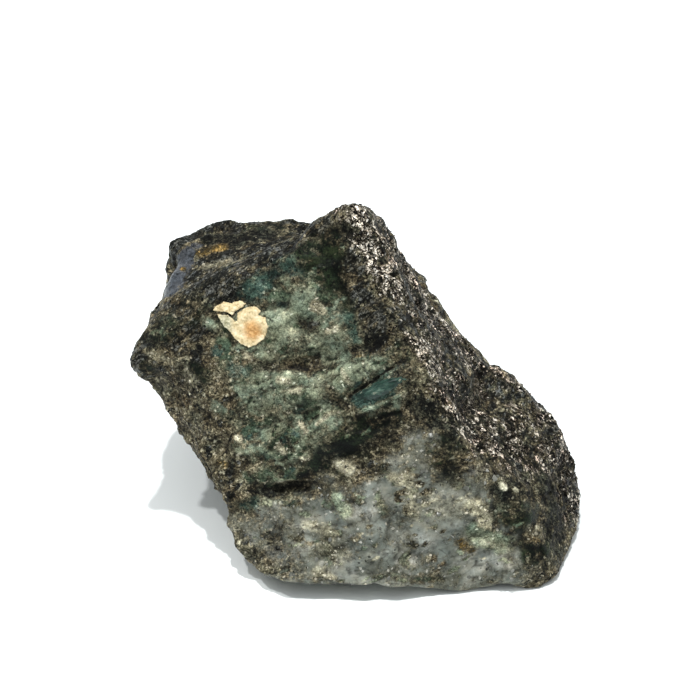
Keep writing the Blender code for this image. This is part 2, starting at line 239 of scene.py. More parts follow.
# Forms that are too low for the solid: name, start, end, half width, lift
SWELLS = tuple(Swell(*row) for row in (
    # On the emerald face
    ("cap_swell", (262, 300), (330, 298), 5.0, 0.35),
    ("band_hollow", (236, 372), (300, 364), 0.9, -0.22),
    ("band_hollow_right", (300, 364), (378, 346), 0.9, -0.25),
    ("strip_shelf", (272, 401), (310, 397), 1.2, 0.35),
    ("strip_swell", (266, 388), (330, 384), 1.6, 0.4),
    ("strip_hollow", (262, 404), (340, 402), 0.8, -0.3),
    ("right_swell", (346, 374), (372, 362), 1.9, 0.5),
    ("low_swell", (298, 438), (328, 420), 2.0, 0.5),
    ("olive_swell", (238, 447), (262, 450), 1.1, 0.4),
    ("low_hollow", (248, 459), (300, 463), 0.8, -0.4),
    ("crevice_hollow", (280, 488), (306, 485), 0.8, -0.4),
    # Along the outline and on the foot
    ("side_swell", (-28.4, 2.5, 22.5), (-28.5, 8.0, 22.5), 3.2, 2.8),
    ("lobe_end_wear", (167, 264), (165, 280), 2.2, -1.2),
    ("lobe_end_knob", (-29.2, 13.6, 28.6), (-29.3, 14.5, 25.8), 1.5, -0.75),
    ("lobe_dip", (-25.4, 18.5, 30.2), (-23.6, 19.5, 30.6), 1.5, 0.5),
    ("lobe_crown_wear", (-22.5, 17.5, 33.7), (-19.0, 17.6, 34.0), 1.9, -0.85),
    ("lobe_crown_fill", (-15.8, 17.4, 34.0), (-12.2, 17.4, 34.2), 1.7, 0.4),
    ("lobe_corner", (173, 249), (180, 241), 1.1, 0.8),
    ("lobe_top_wear", (196, 230), (272, 222), 2.2, -1.45),
    ("tip_low", (138, 367), (141, 371), 1.2, 0.5),
    ("flank_wear", (154, 388), (168, 410), 1.9, -0.9),
    ("flank_wear_low", (172, 418), (184, 440), 1.7, -0.75),
    ("flank_wear_foot", (205, 474), (217, 508), 1.9, -0.85),
    ("foot_corner", (236, 550), (240, 556), 1.5, 0.6),
    ("peak_top", (347, 210), (353, 211), 2.0, 0.45),
    ("peak_wear", (396, 244), (414, 268), 1.6, -0.55),
    ("peak_wear_high", (4.6, -1.2, 43.4), (6.4, -0.6, 40.0), 1.2, -0.6),
    ("side_low", (420, 280), (423, 284), 1.1, 0.9),
    ("side_wear", (11.0, 18.5, 21.0), (15.6, 17.8, 15.5), 2.4, -0.85),
    ("bulge_top", (500, 374), (530, 396), 2.3, 0.8),
    ("bulge_side_top", (549, 422), (556, 434), 1.6, 0.75),
    ("bulge_side", (560, 452), (574, 500), 2.2, 0.1),
    ("corner_wear", (573, 518), (566, 552), 2.0, -0.6),
    ("foot_swell", (345, 530), (375, 540), 2.2, 0.35),
    ("foot_swell_right", (425, 505), (460, 500), 2.4, 0.35),
    ("foot_hollow", (386, 520), (400, 556), 0.9, -0.3),
))

# Spots and streaks, each laid over those before it: name, mineral, start, end, half width, strength,
# ragged, lift
DETAILS = tuple(Patch(*row) for row in (
    # The cap of the emerald face, from the ridge down to the dark band
    ("cap_base", P, (262, 322), (330, 330), 3.6, 0.5, 0.8),
    ("cap_dark", D, (344, 250), (356, 312), 2.6, 0.95, 0.8),
    ("cap_dark_high", D, (318, 256), (344, 240), 2.6, 0.95, 0.8),
    ("cap_dark_mid", D, (318, 276), (336, 262), 2.2, 0.9),
    ("cap_dark_edge", B, (350, 236), (358, 262), 1.4, 0.95, 0.8),
    ("cap_dark_left", D, (300, 262), (320, 250), 1.4, 0.9),
    ("cap_teal_left", T, (250, 290), (264, 282), 1.6, 0.85),
    ("cap_teal_high", T, (268, 282), (286, 270), 1.5, 0.85, 0.95),
    ("cap_mint_high", P, (284, 268), (288, 280), 0.8, 0.25, 0.95, 0.1),
    ("cap_teal_top", T, (292, 266), (308, 282), 1.3, 0.55),
    ("cap_mint", P, (290, 290), (304, 292), 1.5, 0.65, 0.9, 0.1),
    ("cap_green", E, (274, 298), (284, 292), 1.2, 0.9),
    ("cap_green_right", E, (314, 292), (336, 298), 1.5, 0.9),
    ("cap_green_shade", D, (318, 284), (338, 288), 1.2, 0.5),
    ("cap_blue", T, (282, 306), (292, 308), 0.8, 0.7, 0.9, -0.1),
    ("cap_left_mint", P, (207, 320), (216, 323), 1.0, 0.8),
    ("cap_cloud", P, (276, 322), (288, 338), 1.8, 0.95, 0.8),
    ("cap_brown", B, (304, 323), (318, 324), 0.7, 0.75, 0.8, -0.1),
    ("cap_olive", P, (318, 342), (338, 338), 1.0, 0.4),
    ("cap_olive_low", P, (312, 346), (328, 351), 1.0, 0.5),
    ("cap_brown_low", S, (294, 342), (314, 334), 1.3, 0.5),
    ("cap_pale_rim", P, (296, 309), (316, 308), 1.4, 1.0, 0.6, 0.15),
    ("cap_cream", F, (317, 306), (322, 309), 0.75, 1.0, 0.6, 0.15),
    ("cap_streak", F, (328, 332), (338, 328), 0.5, 0.7, 0.8, 0.15),
    ("cap_edge_mint", P, (340, 312), (346, 330), 0.9, 0.5),
    ("cap_edge_teal", T, (350, 320), (356, 336), 1.4, 0.7),
    ("cap_border", B, (356, 270), (374, 344), 1.4, 0.95, 0.8, -0.15),
    ("cap_black", C, (366, 330), (382, 340), 1.0, 0.9, 0.8, -0.1),
    ("under_crust", E, (224, 346), (240, 352), 1.3, 0.9),
    ("under_crust_pale", P, (252, 350), (266, 354), 1.0, 0.6),
    ("under_crust_green", E, (216, 352), (226, 362), 1.3, 0.7),
    ("under_crust_teal", T, (232, 368), (252, 374), 1.2, 0.6, 0.95),
    ("crust_edge", D, (214, 314), (236, 344), 0.5, 0.7, 0.6, -0.05),
    ("tan_spot", F, (247, 356), (250, 359), 0.5, 0.8, 0.8, 0.1),
    # The dark band and the pale strip below it
    ("band", S, (262, 367), (326, 365), 1.3, 0.7, 0.95, -0.1),
    ("band_dark", C, (266, 370), (322, 366), 0.7, 0.4, 0.95, -0.1),
    ("band_gap", P, (328, 358), (346, 355), 0.9, 0.85),
    ("band_rise", C, (352, 351), (380, 344), 0.5, 0.9, 0.8, -0.15),
    ("band_rust", R, (352, 358), (366, 356), 0.4, 0.6, 0.8),
    ("strip", P, (258, 381), (302, 383), 1.3, 0.95, 0.8),
    ("strip_low", P, (276, 397), (318, 392), 0.9, 1.0, 0.6, 0.2),
    ("strip_bright", P, (280, 394), (306, 390), 1.0, 1.0, 0.6, 0.2),
    ("strip_bright_core", F, (285, 393), (303, 391), 0.7, 0.5, 0.8),
    ("strip_spot", F, (279, 380), (289, 381), 0.5, 0.6, 0.8, 0.15),
    ("strip_left", P, (236, 389), (254, 388), 0.6, 0.8, 0.8, 0.1),
    ("strip_right_dark", S, (322, 392), (332, 384), 1.0, 0.55),
    ("right_swell_pale", P, (341, 384), (348, 366), 1.2, 1.0, 0.7, 0.1),
    ("right_swell_cream", F, (346, 372), (350, 382), 0.6, 0.6, 0.8, 0.15),
    ("right_swell_green", P, (358, 370), (382, 362), 1.2, 0.8),
    ("right_swell_shade", E, (352, 366), (366, 376), 1.1, 0.6),
    ("right_swell_high", S, (376, 354), (404, 350), 0.9, 0.5, 0.9, 0.1),
    ("lens_above", T, (384, 375), (403, 368), 1.0, 0.75, 0.8),
    ("lens_groove", C, (350, 396), (378, 377), 0.28, 1.0, 0.8, -0.35),
    ("lens_groove_high", C, (378, 377), (392, 367), 0.2, 0.8, 0.8, -0.25),
    ("lens_groove_low", C, (356, 397), (380, 384), 0.18, 0.8, 0.8, -0.15),
    ("lens_groove_end", C, (380, 384), (405, 375), 0.18, 0.8, 0.8, -0.15),
    ("lens_bed", T, (356, 402), (404, 384), 1.1, 1.0, 0.6, 0.1),
    ("lens_under", D, (362, 422), (397, 408), 1.2, 1.0, 0.8, -0.3),
    ("lens_olive", P, (356, 413), (368, 413), 0.6, 0.5, 0.9, 0.1),
    ("lens_rim", P, (362, 411), (382, 404), 0.34, 1.0, 0.6, 0.35),
    ("lens_rim_high", P, (382, 404), (405, 390), 0.32, 1.0, 0.7, 0.35),
    ("lens_glow", E, (374, 413), (399, 402), 0.9, 0.75),
    # The green swells, with brown schist between them
    ("low_mint_left", P, (246, 402), (290, 406), 1.3, 0.6),
    ("low_teal", T, (240, 412), (250, 420), 1.0, 0.4, 0.95),
    ("low_brown", S, (262, 414), (290, 418), 1.1, 0.45, 0.95),
    ("low_brown_right", S, (334, 400), (352, 408), 1.2, 0.6),
    ("low_green_pale", P, (308, 434), (332, 422), 1.5, 1.0, 0.6),
    ("low_shade_right", D, (334, 424), (344, 436), 1.2, 0.6),
    ("low_pale_core", P, (312, 432), (328, 425), 0.9, 1.0, 0.4, 0.15),
    ("low_green", P, (298, 453), (318, 445), 1.3, 0.75, 0.8, 0.1),
    ("low_green_edge", T, (322, 446), (332, 430), 0.9, 0.6),
    ("low_green_left", E, (282, 442), (296, 440), 1.2, 0.9, 0.8),
    ("low_mint_mid", P, (310, 446), (326, 452), 1.1, 0.6),
    ("low_mint_foot", P, (276, 462), (300, 468), 1.2, 0.5),
    ("low_vein", F, (300, 422), (308, 432), 0.35, 0.7, 0.9, 0.15),
    ("low_vein_right", F, (318, 424), (328, 416), 0.35, 0.6, 0.9, 0.15),
    ("low_olive", P, (238, 447), (264, 449), 0.8, 0.6),
    ("low_dark", C, (288, 438), (292, 450), 0.35, 0.6, 0.9, -0.2),
    # Painted highlights: pale, slightly raised feldspar spots where glints shine
    ("low_painted_glint_left", F, (238, 438), (240, 440), 0.45, 1.0, 0.8, 0.2),
    ("low_glint", F, (302, 458), (306, 460), 0.4, 1.0, 0.6, 0.25),
    ("low_grain", F, (279, 446), (284, 452), 0.5, 0.7, 0.9, 0.15),
    ("low_rust", R, (217, 463), (225, 466), 0.7, 0.6),
    ("low_strip", E, (250, 478), (292, 474), 1.2, 1.0, 0.8, 0.15),
    ("low_tan", S, (240, 463), (275, 467), 1.0, 0.5),
    ("low_dark_glint", D, (308, 466), (322, 458), 0.8, 0.7),
    ("low_edge_dark", D, (304, 474), (330, 460), 0.8, 0.9, 0.8, -0.1),
    # Painted shadow: the crevice under the ledge, darkened where the overhang's shadow falls
    ("crevice", D, (262, 487), (280, 488), 0.5, 1.0, 0.8, -0.15),
    ("crevice_line", C, (243, 491), (262, 491), 0.2, 0.8, 0.8, -0.1),
    ("crevice_right", C, (283, 490), (304, 485), 0.6, 1.0, 0.8, -0.1),
    ("crevice_low", C, (262, 491), (286, 497), 0.7, 1.0, 0.8),
    ("crevice_teal", T, (276, 501), (298, 497), 0.6, 0.35),
    ("crevice_green", T, (236, 506), (256, 500), 0.9, 0.6),
    ("crevice_end", D, (290, 494), (326, 490), 1.1, 0.6),
    ("valley", D, (334, 456), (366, 438), 2.5, 1.0, 0.8, -0.05),
    ("valley_high", D, (366, 436), (388, 421), 1.5, 0.85),
    ("valley_brown", C, (366, 448), (392, 432), 0.8, 0.5, 0.9, -0.1),
    ("left_seam", C, (181, 425), (214, 488), 0.5, 0.7, 0.9, -0.2),
    # The left end and its brown granular flank
    ("tip", B, (136, 360), (148, 368), 1.7, 1.0, 0.6),
    ("tip_blue", D, (146, 366), (154, 370), 0.9, 0.8, 0.6),
    ("flank_high", S, (158, 358), (206, 346), 1.3, 0.6, 0.8),
    ("flank_high_dark", B, (176, 343), (198, 352), 1.4, 0.6),
    ("flank_mint", P, (214, 406), (226, 412), 1.0, 0.5),
    ("flank_pale", F, (172, 364), (188, 374), 1.3, 0.35, 0.95),
    ("flank_shade", B, (192, 424), (206, 436), 1.2, 0.5, 0.95),
    ("flank_dark", D, (194, 368), (204, 376), 1.0, 0.7, 0.6),
    ("flank_tan", F, (150, 352), (160, 358), 0.8, 0.4, 0.6),
    # The lower rear lobe
    ("ridge_green", D, (152, 334), (196, 306), 2.2, 0.7),
    ("ridge_dark", B, (170, 304), (188, 312), 1.3, 0.7),
    ("lobe_dark", D, (204, 234), (270, 228), 3.0, 1.0, 0.6),
    ("lobe_dark_low", B, (214, 246), (284, 240), 2.4, 0.85, 0.8),
    ("lobe_black", C, (208, 236), (264, 231), 2.3, 1.0, 0.6),
    ("slick", L, (172, 285), (183, 262), 2.0, 1.0, 0.6),
    ("slick_high", L, (176, 258), (196, 250), 1.1, 0.8, 0.6),
    ("tan_streak", F, (206, 266), (230, 262), 0.8, 0.4, 0.95),
    ("ochre", R, (200, 253), (224, 247), 0.75, 0.9, 0.9, 0.1),
    ("orange_spot", R, (181, 269), (184, 270), 0.35, 1.0, 0.6, 0.1),
    ("lobe_streak", R, (240, 250), (262, 242), 0.4, 0.4, 0.6),
    ("lobe_streak_low", S, (222, 280), (250, 268), 0.5, 0.4, 0.6),
    # The mica face
    ("peak_bright", M, (350, 208), (362, 222), 2.2, 1.0, 0.6),
    ("peak_pale", G, (354, 208), (368, 224), 1.7),
    ("mica_crest_high", G, (370, 246), (380, 264), 1.3, 1.0, 0.8),
    ("peak_pit", C, (347, 228), (352, 240), 0.8, 1.0, 0.6, -0.3),
    ("mica_crest", G, (370, 240), (400, 304), 1.8, 1.0, 0.8, 0.1),
    ("mica_crest_mid", G, (408, 270), (426, 292), 1.1, 0.6),
    ("mica_crest_low", G, (408, 332), (436, 366), 1.7, 0.9, 0.8, 0.1),
    ("mica_dark", B, (396, 312), (410, 322), 1.2, 0.8, 0.8, -0.1),
    ("mica_dark_mid", B, (412, 300), (428, 324), 1.0, 0.7, 0.9, -0.1),
    ("mica_dark_high", B, (394, 320), (418, 334), 1.2, 0.6),
    ("mica_dark_side", B, (432, 330), (446, 340), 0.9, 0.8, 0.8, -0.1),
    ("mica_dark_low", B, (448, 352), (468, 376), 1.4, 0.9, 0.8, -0.1),
    ("mica_dark_right", B, (474, 384), (496, 408), 2.0, 0.8, 0.8, -0.1),
    ("mica_dark_bulge", B, (500, 388), (528, 408), 1.6, 0.7),
    ("mica_dark_left", B, (374, 306), (380, 344), 1.4, 0.8, 0.6),
    ("mica_grey", S, (404, 372), (425, 402), 2.2, 0.7, 0.6),
    # Painted shade: the corner hollow, a little sunk, is also darkened near-black
    ("corner_hollow", C, (424, 409), (446, 429), 1.9, 1.0, 0.7, -0.2),
    ("corner_blue", D, (440, 440), (456, 450), 1.4, 0.65),
    ("corner_blue_low", D, (444, 480), (466, 490), 1.5, 0.65),
    ("corner_blue_mid", D, (430, 460), (450, 468), 1.4, 0.6),
    ("corner_block", M, (456, 412), (476, 424), 2.2, 1.0, 0.6, 0.2),
    ("corner_block_pale", G, (453, 408), (460, 426), 1.0, 0.9, 0.8, 0.1),
    ("corner_block_right", G, (470, 410), (482, 434), 1.0, 0.9, 0.8, 0.1),
    ("mica_rim", G, (530, 424), (556, 462), 1.5, 0.6),
    ("bulge_brown", S, (515, 430), (545, 470), 3.4, 0.25, 0.6),
    ("bulge_low", S, (500, 480), (552, 500), 2.6, 0.3, 0.6),
    # The quartz foot
    ("corner_green", D, (500, 508), (528, 512), 3.0, 0.9),
    ("corner_olive", E, (506, 510), (520, 514), 1.8, 0.5),
    ("corner_dark", D, (520, 528), (548, 530), 2.2, 0.6, 0.95),
    ("corner_green_low", D, (528, 552), (562, 550), 2.0, 0.95, 0.8),
    ("corner_black", C, (494, 490), (506, 498), 0.9, 0.8),
    ("corner_black_right", C, (512, 482), (530, 496), 1.2, 0.7),
    ("foot_peak", Q, (404, 480), (416, 446), 2.4, 0.85),
    ("foot_peak_tone", F, (402, 470), (412, 450), 1.6, 0.2),
    ("foot_high_brown", S, (356, 466), (380, 470), 1.4, 0.6),
    ("foot_green_left", D, (345, 490), (352, 516), 1.2, 0.25, 0.95),
    ("foot_blue", Q, (340, 540), (372, 530), 2.6, 1.0, 0.6),
    ("foot_blue_tone", T, (342, 546), (370, 534), 2.4, 0.22, 0.5),
    ("foot_mid_shade", D, (352, 504), (366, 514), 1.3, 0.4, 0.95),
    ("foot_pale", Q, (425, 505), (466, 508), 2.8, 1.0, 0.6),
    ("foot_warm", F, (434, 502), (462, 510), 2.0, 0.35, 0.6),
    ("foot_mint", P, (336, 497), (344, 512), 1.0, 0.95, 0.7, 0.1),
    ("foot_mint_mid", P, (378, 499), (384, 513), 0.7, 0.8, 0.8, 0.1),
    ("foot_streak", F, (408, 474), (415, 516), 0.8, 0.5),
    ("foot_cream", F, (474, 504), (486, 520), 1.2, 1.0, 0.5, 0.3),
    ("foot_cream_core", F, (477, 505), (486, 518), 0.8, 1.0, 0.3),
    ("foot_cream_low", P, (474, 534), (500, 545), 1.7, 1.0, 0.5, 0.25),
    ("foot_cream_low_bright", F, (484, 542), (500, 547), 0.8, 0.35, 0.7, 0.1),
    ("foot_cream_top", F, (393, 478), (400, 480), 0.8, 0.6, 0.8, 0.2),
    ("foot_cream_edge", F, (318, 568), (331, 575), 0.8, 0.8, 0.7, 0.15),
    ("foot_olive_left", P, (326, 538), (330, 560), 0.8, 0.6),
    ("foot_cream_mid", F, (306, 524), (334, 532), 0.9, 0.5, 0.9, 0.1),
    ("foot_cream_low_mid", F, (314, 546), (344, 552), 1.3, 0.35, 0.95),
    ("foot_cream_left", F, (338, 463), (350, 468), 0.9, 0.6, 0.9, 0.15),
    ("foot_brown", R, (460, 543), (472, 549), 0.9, 0.6),
    ("foot_dark", D, (388, 510), (402, 519), 1.1, 0.6, 0.9, -0.1),
    ("foot_dark_mid", D, (394, 532), (418, 547), 1.3, 0.4),
    ("foot_dark_low", D, (420, 558), (446, 562), 0.8, 0.5),
    ("foot_line", D, (390, 522), (382, 556), 0.3, 0.4, 0.95, -0.1),
    ("foot_left_brown", S, (240, 530), (280, 526), 2.0, 0.6, 0.95),
    ("foot_left_dark", C, (264, 536), (276, 546), 1.0, 0.4, 0.95),
    ("foot_left_shade", S, (274, 544), (298, 556), 1.4, 0.5, 0.95),
    ("foot_left_pale", Q, (238, 524), (262, 532), 1.6, 0.5, 0.95),
    ("foot_left_low", S, (252, 562), (290, 574), 2.0, 0.4, 0.95),
    ("foot_left_green", T, (250, 508), (300, 504), 0.9, 0.3, 0.95),
    ("foot_green", E, (418, 579), (440, 578), 0.8, 0.8),
    ("foot_low_shade", S, (276, 566), (330, 582), 1.6, 0.45, 0.95),
    ("foot_low_shade_right", S, (386, 572), (440, 574), 1.5, 0.45, 0.95),
    ("foot_low_green", E, (372, 576), (396, 572), 0.7, 0.5, 0.95),
    ("corner_tan", F, (529, 531), (541, 536), 0.8, 0.4, 0.9, 0.1),
    ("corner_tan_brown", R, (527, 536), (540, 541), 0.6, 0.4),
    # Painted highlights: pale feldspar spots, slightly raised, where glints shine on the corner
    ("corner_tan_painted_highlight", F, (537, 527), (541, 528), 0.4, 1.0, 0.8, 0.15),
    ("corner_glint", F, (502, 486), (505, 488), 0.5, 1.0, 0.6, 0.25),
    ("corner_glint_right", F, (515, 489), (517, 490), 0.35, 0.9, 0.6, 0.2),
    # Painted shade: the foot's right side, which lies in shade, darkened near-black
    ("side_painted_shade", C, (547, 490), (560, 528), 2.2, 1.0, 0.8),
    ("side_painted_shade_low", C, (544, 524), (560, 552), 1.6, 0.7),
))


@dataclass(frozen=True)
class Inclusion:
    """Pockets of one mineral in another, wherever soft noise rises high enough."""

    host: Mineral
    guest: Mineral
    size: float
    amount: float
    along: Triple = BAND
    stretch: float = 1.5


INCLUSIONS = (
    Inclusion(Q, S, 2.6, 0.05),
    Inclusion(Q, F, 1.7, 0.02),
    Inclusion(Q, P, 1.9, 0.08),
    Inclusion(E, P, 2.4, 0.24),
    Inclusion(E, T, 2.3, 0.18),
    Inclusion(E, D, 1.5, 0.12),
    Inclusion(P, E, 2.0, 0.08),
    Inclusion(S, B, 2.2, 0.16),
    Inclusion(S, F, 1.0, 0.05),
    Inclusion(S, C, 0.8, 0.11),
    Inclusion(B, S, 1.4, 0.10, RIDGE, 3.2),
    Inclusion(M, G, 1.5, 0.20, FALL, 1.6),
    Inclusion(M, B, 1.6, 0.18, FALL, 1.6),
    Inclusion(M, C, 0.9, 0.32, FALL, 1.5),
    Inclusion(G, C, 0.9, 0.30, FALL, 1.5),
    Inclusion(B, C, 0.8, 0.20, RIDGE, 2.0),
    Inclusion(D, E, 1.8, 0.05),
)


def as_array(mesh: bpy.types.Mesh) -> np.ndarray:
    """Reads a mesh's vertices.

    Args:
        mesh: The mesh.

    Returns:
        Its vertices as rows of millimetres.
    """
    flat = np.zeros(len(mesh.vertices) * 3, np.float32)
    mesh.vertices.foreach_get("co", flat)
    return flat.reshape(-1, 3).astype(float) / MM


def linked(name: str, data: bpy.types.ID) -> bpy.types.Object:
    """Puts a mesh, a light or a camera into the scene.

    Args:
        name: The new object's name.
        data: What it shows.

    Returns:
        The object.
    """
    obj = bpy.data.objects.new(name, data)
    bpy.context.scene.collection.objects.link(obj)
    return obj


def settled(name: str, bm: bmesh.types.BMesh) -> bpy.types.Mesh:
    """Turns a finished bmesh into a mesh.

    Args:
        name: The mesh's name.
        bm: The bmesh, which is freed.

    Returns:
        The new mesh.
    """
    mesh = bpy.data.meshes.new(name)
    bm.to_mesh(mesh)
    bm.free()
    return mesh


def evaluated(mesh: bpy.types.Mesh, kind: str, **settings: object) -> bpy.types.Mesh:
    """The mesh that one modifier makes of this one.

    Args:
        mesh: What the modifier works on.
        kind: The modifier's type.
        **settings: Its settings.

    Returns:
        A new mesh.
    """
    obj = linked("step", mesh)
    modifier = obj.modifiers.new("step", kind)
    for name, value in settings.items():
        setattr(modifier, name, value)
    graph = bpy.context.evaluated_depsgraph_get()
    graph.update()
    made = bpy.data.meshes.new_from_object(obj.evaluated_get(graph))
    bpy.data.objects.remove(obj)
    return made


def relax(bm: bmesh.types.BMesh, steps: int) -> None:
    """Wears a surface down.

    Args:
        bm: The surface.
        steps: How many times.
    """
    axes = {"use_axis_x": True, "use_axis_y": True, "use_axis_z": True}
    for _ in range(steps):
        bmesh.ops.smooth_vert(bm, verts=bm.verts, factor=0.5, **axes)


def tree_of(mesh: bpy.types.Mesh) -> BVHTree:
    """A tree that finds places on this mesh."""
    places = [vert.co for vert in mesh.vertices]
    return BVHTree.FromPolygons(places, [face.vertices for face in mesh.polygons])


def smooth_share(low: float, high: float, value: np.ndarray) -> np.ndarray:
    """0 where value is at low, 1 where it is at high, and a soft curve between."""
    share = np.clip((value - low) / (high - low), 0.0, 1.0)
    return share * share * (3.0 - 2.0 * share)


def wander(points: np.ndarray, size: float) -> np.ndarray:
    """Smooth vector noise at each point, with waves of this size."""
    return np.array([noise.noise_vector(Vector(point) / size) for point in points])


def waves(place: Vector, calm: float = 0.9, octaves: int = 3) -> float:
    """Soft noise with waves of about unit size; the smaller ones are weaker the larger calm is."""
    return noise.fractal(place, calm, 2.0, octaves)


def grained(points: np.ndarray, along: Triple, stretch: float) -> list[Vector]:
    """Turns and squeezes places, so that noise which is read at them runs one way.

    Args:
        points: The places, in millimetres.
        along: The way that the noise runs.
        stretch: Its length over its width.

    Returns:
        A place for each point.
    """
    turn = Vector(along).to_track_quat("X", "Z").inverted()
    places = [turn @ Vector(point) for point in points]
    for place in places:
        place.x /= stretch
    return places


def chips(point: Vector, size: float) -> float:
    """Flat-faced chips: each cell of broken rock leans its own way, so that its edges are small steps.

    Args:
        point: Where the height is read.
        size: How large the chips are.

    Returns:
        The height, in the same unit.
    """
    cell = noise.voronoi(point / size)[1][0]
    lean = noise.noise_vector(cell * LEAN_SCATTER)
    return size * (point / size - cell).dot(lean)


def domes(point: Vector, size: float) -> float:
    """Round grains, pressed against each other: 1 at a grain's middle and 0 at its border."""
    near, next_near = noise.voronoi(point / size)[0][:2]
    return min(1.0, DOME_SLOPE * (next_near - near))


@dataclass
class Skin:
    """The surface of the lump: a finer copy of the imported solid, broken the way its minerals break.

    A reach with two numbers is a shift's most, and its share of a patch's half width. A range with two
    numbers is where a soft step starts and where it ends.
    """

    voxel: float = 0.38
    wear_steps: int = 2
    hollow_steps: int = 8
    hollow_depth: float = 0.16
    edge_steps: int = 6
    wide_wave: float = 2.6
    wide_reach: tuple[float, float] = (0.9, 0.45)
    fine_wave: float = 0.8
    fine_reach: tuple[float, float] = (0.35, 0.3)
    pocket_host: float = 0.05
    pocket_border: tuple[float, float] = (0.12, 0.18)
    pocket_shift: tuple[float, float] = (17.3, 5.1)
    least_share: float = 0.02
    dome_middle: float = 0.6
    seat: tuple[float, float] = (0.1, 1.4)
    lip_front: tuple[float, float] = (-24.0, -26.8)
    lip_left: tuple[float, float] = (-21.0, -15.0)
    lip_right: tuple[float, float] = (17.0, 3.0)
    lip_reach: float = 1.7
    lip_reach_height: float = 9.0
    lip_rise: float = 2.3
    lip_rise_height: float = 4.0

    def solid(self) -> bpy.types.Mesh:
        """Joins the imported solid's loose triangles.

        Returns:
            The solid as one connected mesh.
        """
        bm = bmesh.new()
        bm.from_mesh(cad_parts[NODE].data)
        bmesh.ops.remove_doubles(bm, verts=bm.verts, dist=MERGE_GAP)
        return settled("solid", bm)

    def place(self, spot: Spot) -> np.ndarray:
        """Where a seen spot lies on the solid, or the place itself if it has three numbers.

        A spot just outside the outline gives the outline's nearest place.

        Args:
            spot: Two steps of the portrait, or three millimetres.

        Returns:
            The place in millimetres.
        """
        if len(spot) == 3:
            return np.array(spot)
        eye, way = PORTRAIT.place(), PORTRAIT.ray(*spot).normalized()
        hit = self.tree.ray_cast(eye, way)[0]
        if hit is None:
            hit = Vector(PORTRAIT.aim)
            for _ in range(self.edge_steps):
                hit = self.tree.find_nearest(eye + way * (hit - eye).dot(way))[0]
        return np.array(hit) / MM

    def share(self, patch: Patch | Swell, points: np.ndarray) -> np.ndarray:
        """How much of each point a patch or swell covers, from 0 to 1.

        Args:
            patch: The patch or swell.
            points: Places in millimetres.

        Returns:
            One number for each point.
        """
        start, end = self.place(patch.start), self.place(patch.end)
        wide, fine = (min(most, part * patch.half_width) for most, part in (self.wide_reach, self.fine_reach))
        shifted = points + wide * self.wide_wander + fine * self.fine_wander
        line = end - start
        along = np.clip((shifted - start) @ line / max(line @ line, TINY), 0.0, 1.0)
        off = np.linalg.norm(shifted - start - along[:, None] * line, axis=1) / patch.half_width
        covered = smooth_share(1 + patch.ragged, 1 - patch.ragged, off)
        LOG.debug("%s covers %.0f points", patch.name, covered.sum())
        return covered

    def lay_minerals(self, points: np.ndarray) -> None:
        """Lays the patches over each other, so that the shares of all minerals stay 1 in all.

        Args:
            points: Places in millimetres.
        """
        self.shares = {mineral: np.zeros(len(points)) for mineral in Mineral}
        self.shares[Mineral.SCHIST] += 1.0
        self.lift = np.zeros(len(points))
        for swell in SWELLS:
            self.lift += swell.lift * self.share(swell, points)
        for patch in GROUND + DETAILS:
            covered = self.share(patch, points)
            self.lift += patch.lift * covered
            for laid in self.shares.values():
                laid *= 1.0 - patch.strength * covered
            self.shares[patch.mineral] += patch.strength * covered
        for index, inclusion in enumerate(INCLUSIONS):
            self.include(inclusion, index, points)

    def include(self, inclusion: Inclusion, index: int, points: np.ndarray) -> None:
        """Turns pockets of one mineral into another.

        Args:
            inclusion: Which minerals, and how large and how many the pockets are.
            index: The inclusion's number, so that no two of them lie alike.
            points: Places in millimetres.
        """
        host = self.shares[inclusion.host]
        there = np.flatnonzero(host > self.pocket_host)
        shift = Vector((self.pocket_shift[0] * index, self.pocket_shift[1], 0.0))
        places = grained(points[there], inclusion.along, inclusion.stretch)
        levels = np.array([waves(place / inclusion.size + shift, calm=0.7, octaves=4) for place in places])
        bar = np.quantile(levels, 1.0 - inclusion.amount)
        below, above = self.pocket_border
        moved = host[there] * smooth_share(bar - below, bar + above, levels)
        host[there] -= moved
        self.shares[inclusion.guest][there] += moved

    def broken(self, mineral: Mineral, points: np.ndarray) -> np.ndarray:
        """How far a mineral's own way of breaking moves each point.

        Args:
            mineral: The mineral.
            points: Places in millimetres.

        Returns:
            A height in millimetres for each point.
        """
        form = BREAKS[mineral]
        heights = np.zeros(len(points))
        for index, place in enumerate(grained(points, form.along, form.stretch)):
            height = form.swell_height * waves(place / form.swell)
            height += form.lean * sum(chips(place, size) for size in form.chips)
            if form.domes:
                height += form.dome_height * (domes(place, form.domes) - self.dome_middle)
            heights[index] = height
        return heights

    def relief(self, points: np.ndarray) -> np.ndarray:
        """How far each point of the surface moves out.

        Args:
            points: Places in millimetres.

        Returns:
            A height in millimetres for each point.
        """
        heights = self.lift.copy()
        for mineral, share in self.shares.items():
            there = share > self.least_share
            heights[there] += share[there] * self.broken(mineral, points[there])
        return heights * smooth_share(*self.seat, points[:, 2])

    def lip(self, points: np.ndarray) -> np.ndarray:
        """How the foot's lower front edge stands off the floor.

        Args:
            points: Places in millimetres.

        Returns:
            A shift in millimetres for each point.
        """
        front = smooth_share(*self.lip_front, points[:, 1])
        front *= smooth_share(*self.lip_left, points[:, 0]) * smooth_share(*self.lip_right, points[:, 0])
        shift = np.zeros_like(points)
        shift[:, 1] = -self.lip_reach * front * np.clip(1.0 - points[:, 2] / self.lip_reach_height, 0.0, 1.0)
        shift[:, 2] = self.lip_rise * front * np.clip(1.0 - points[:, 2] / self.lip_rise_height, 0.0, 1.0)
        return shift

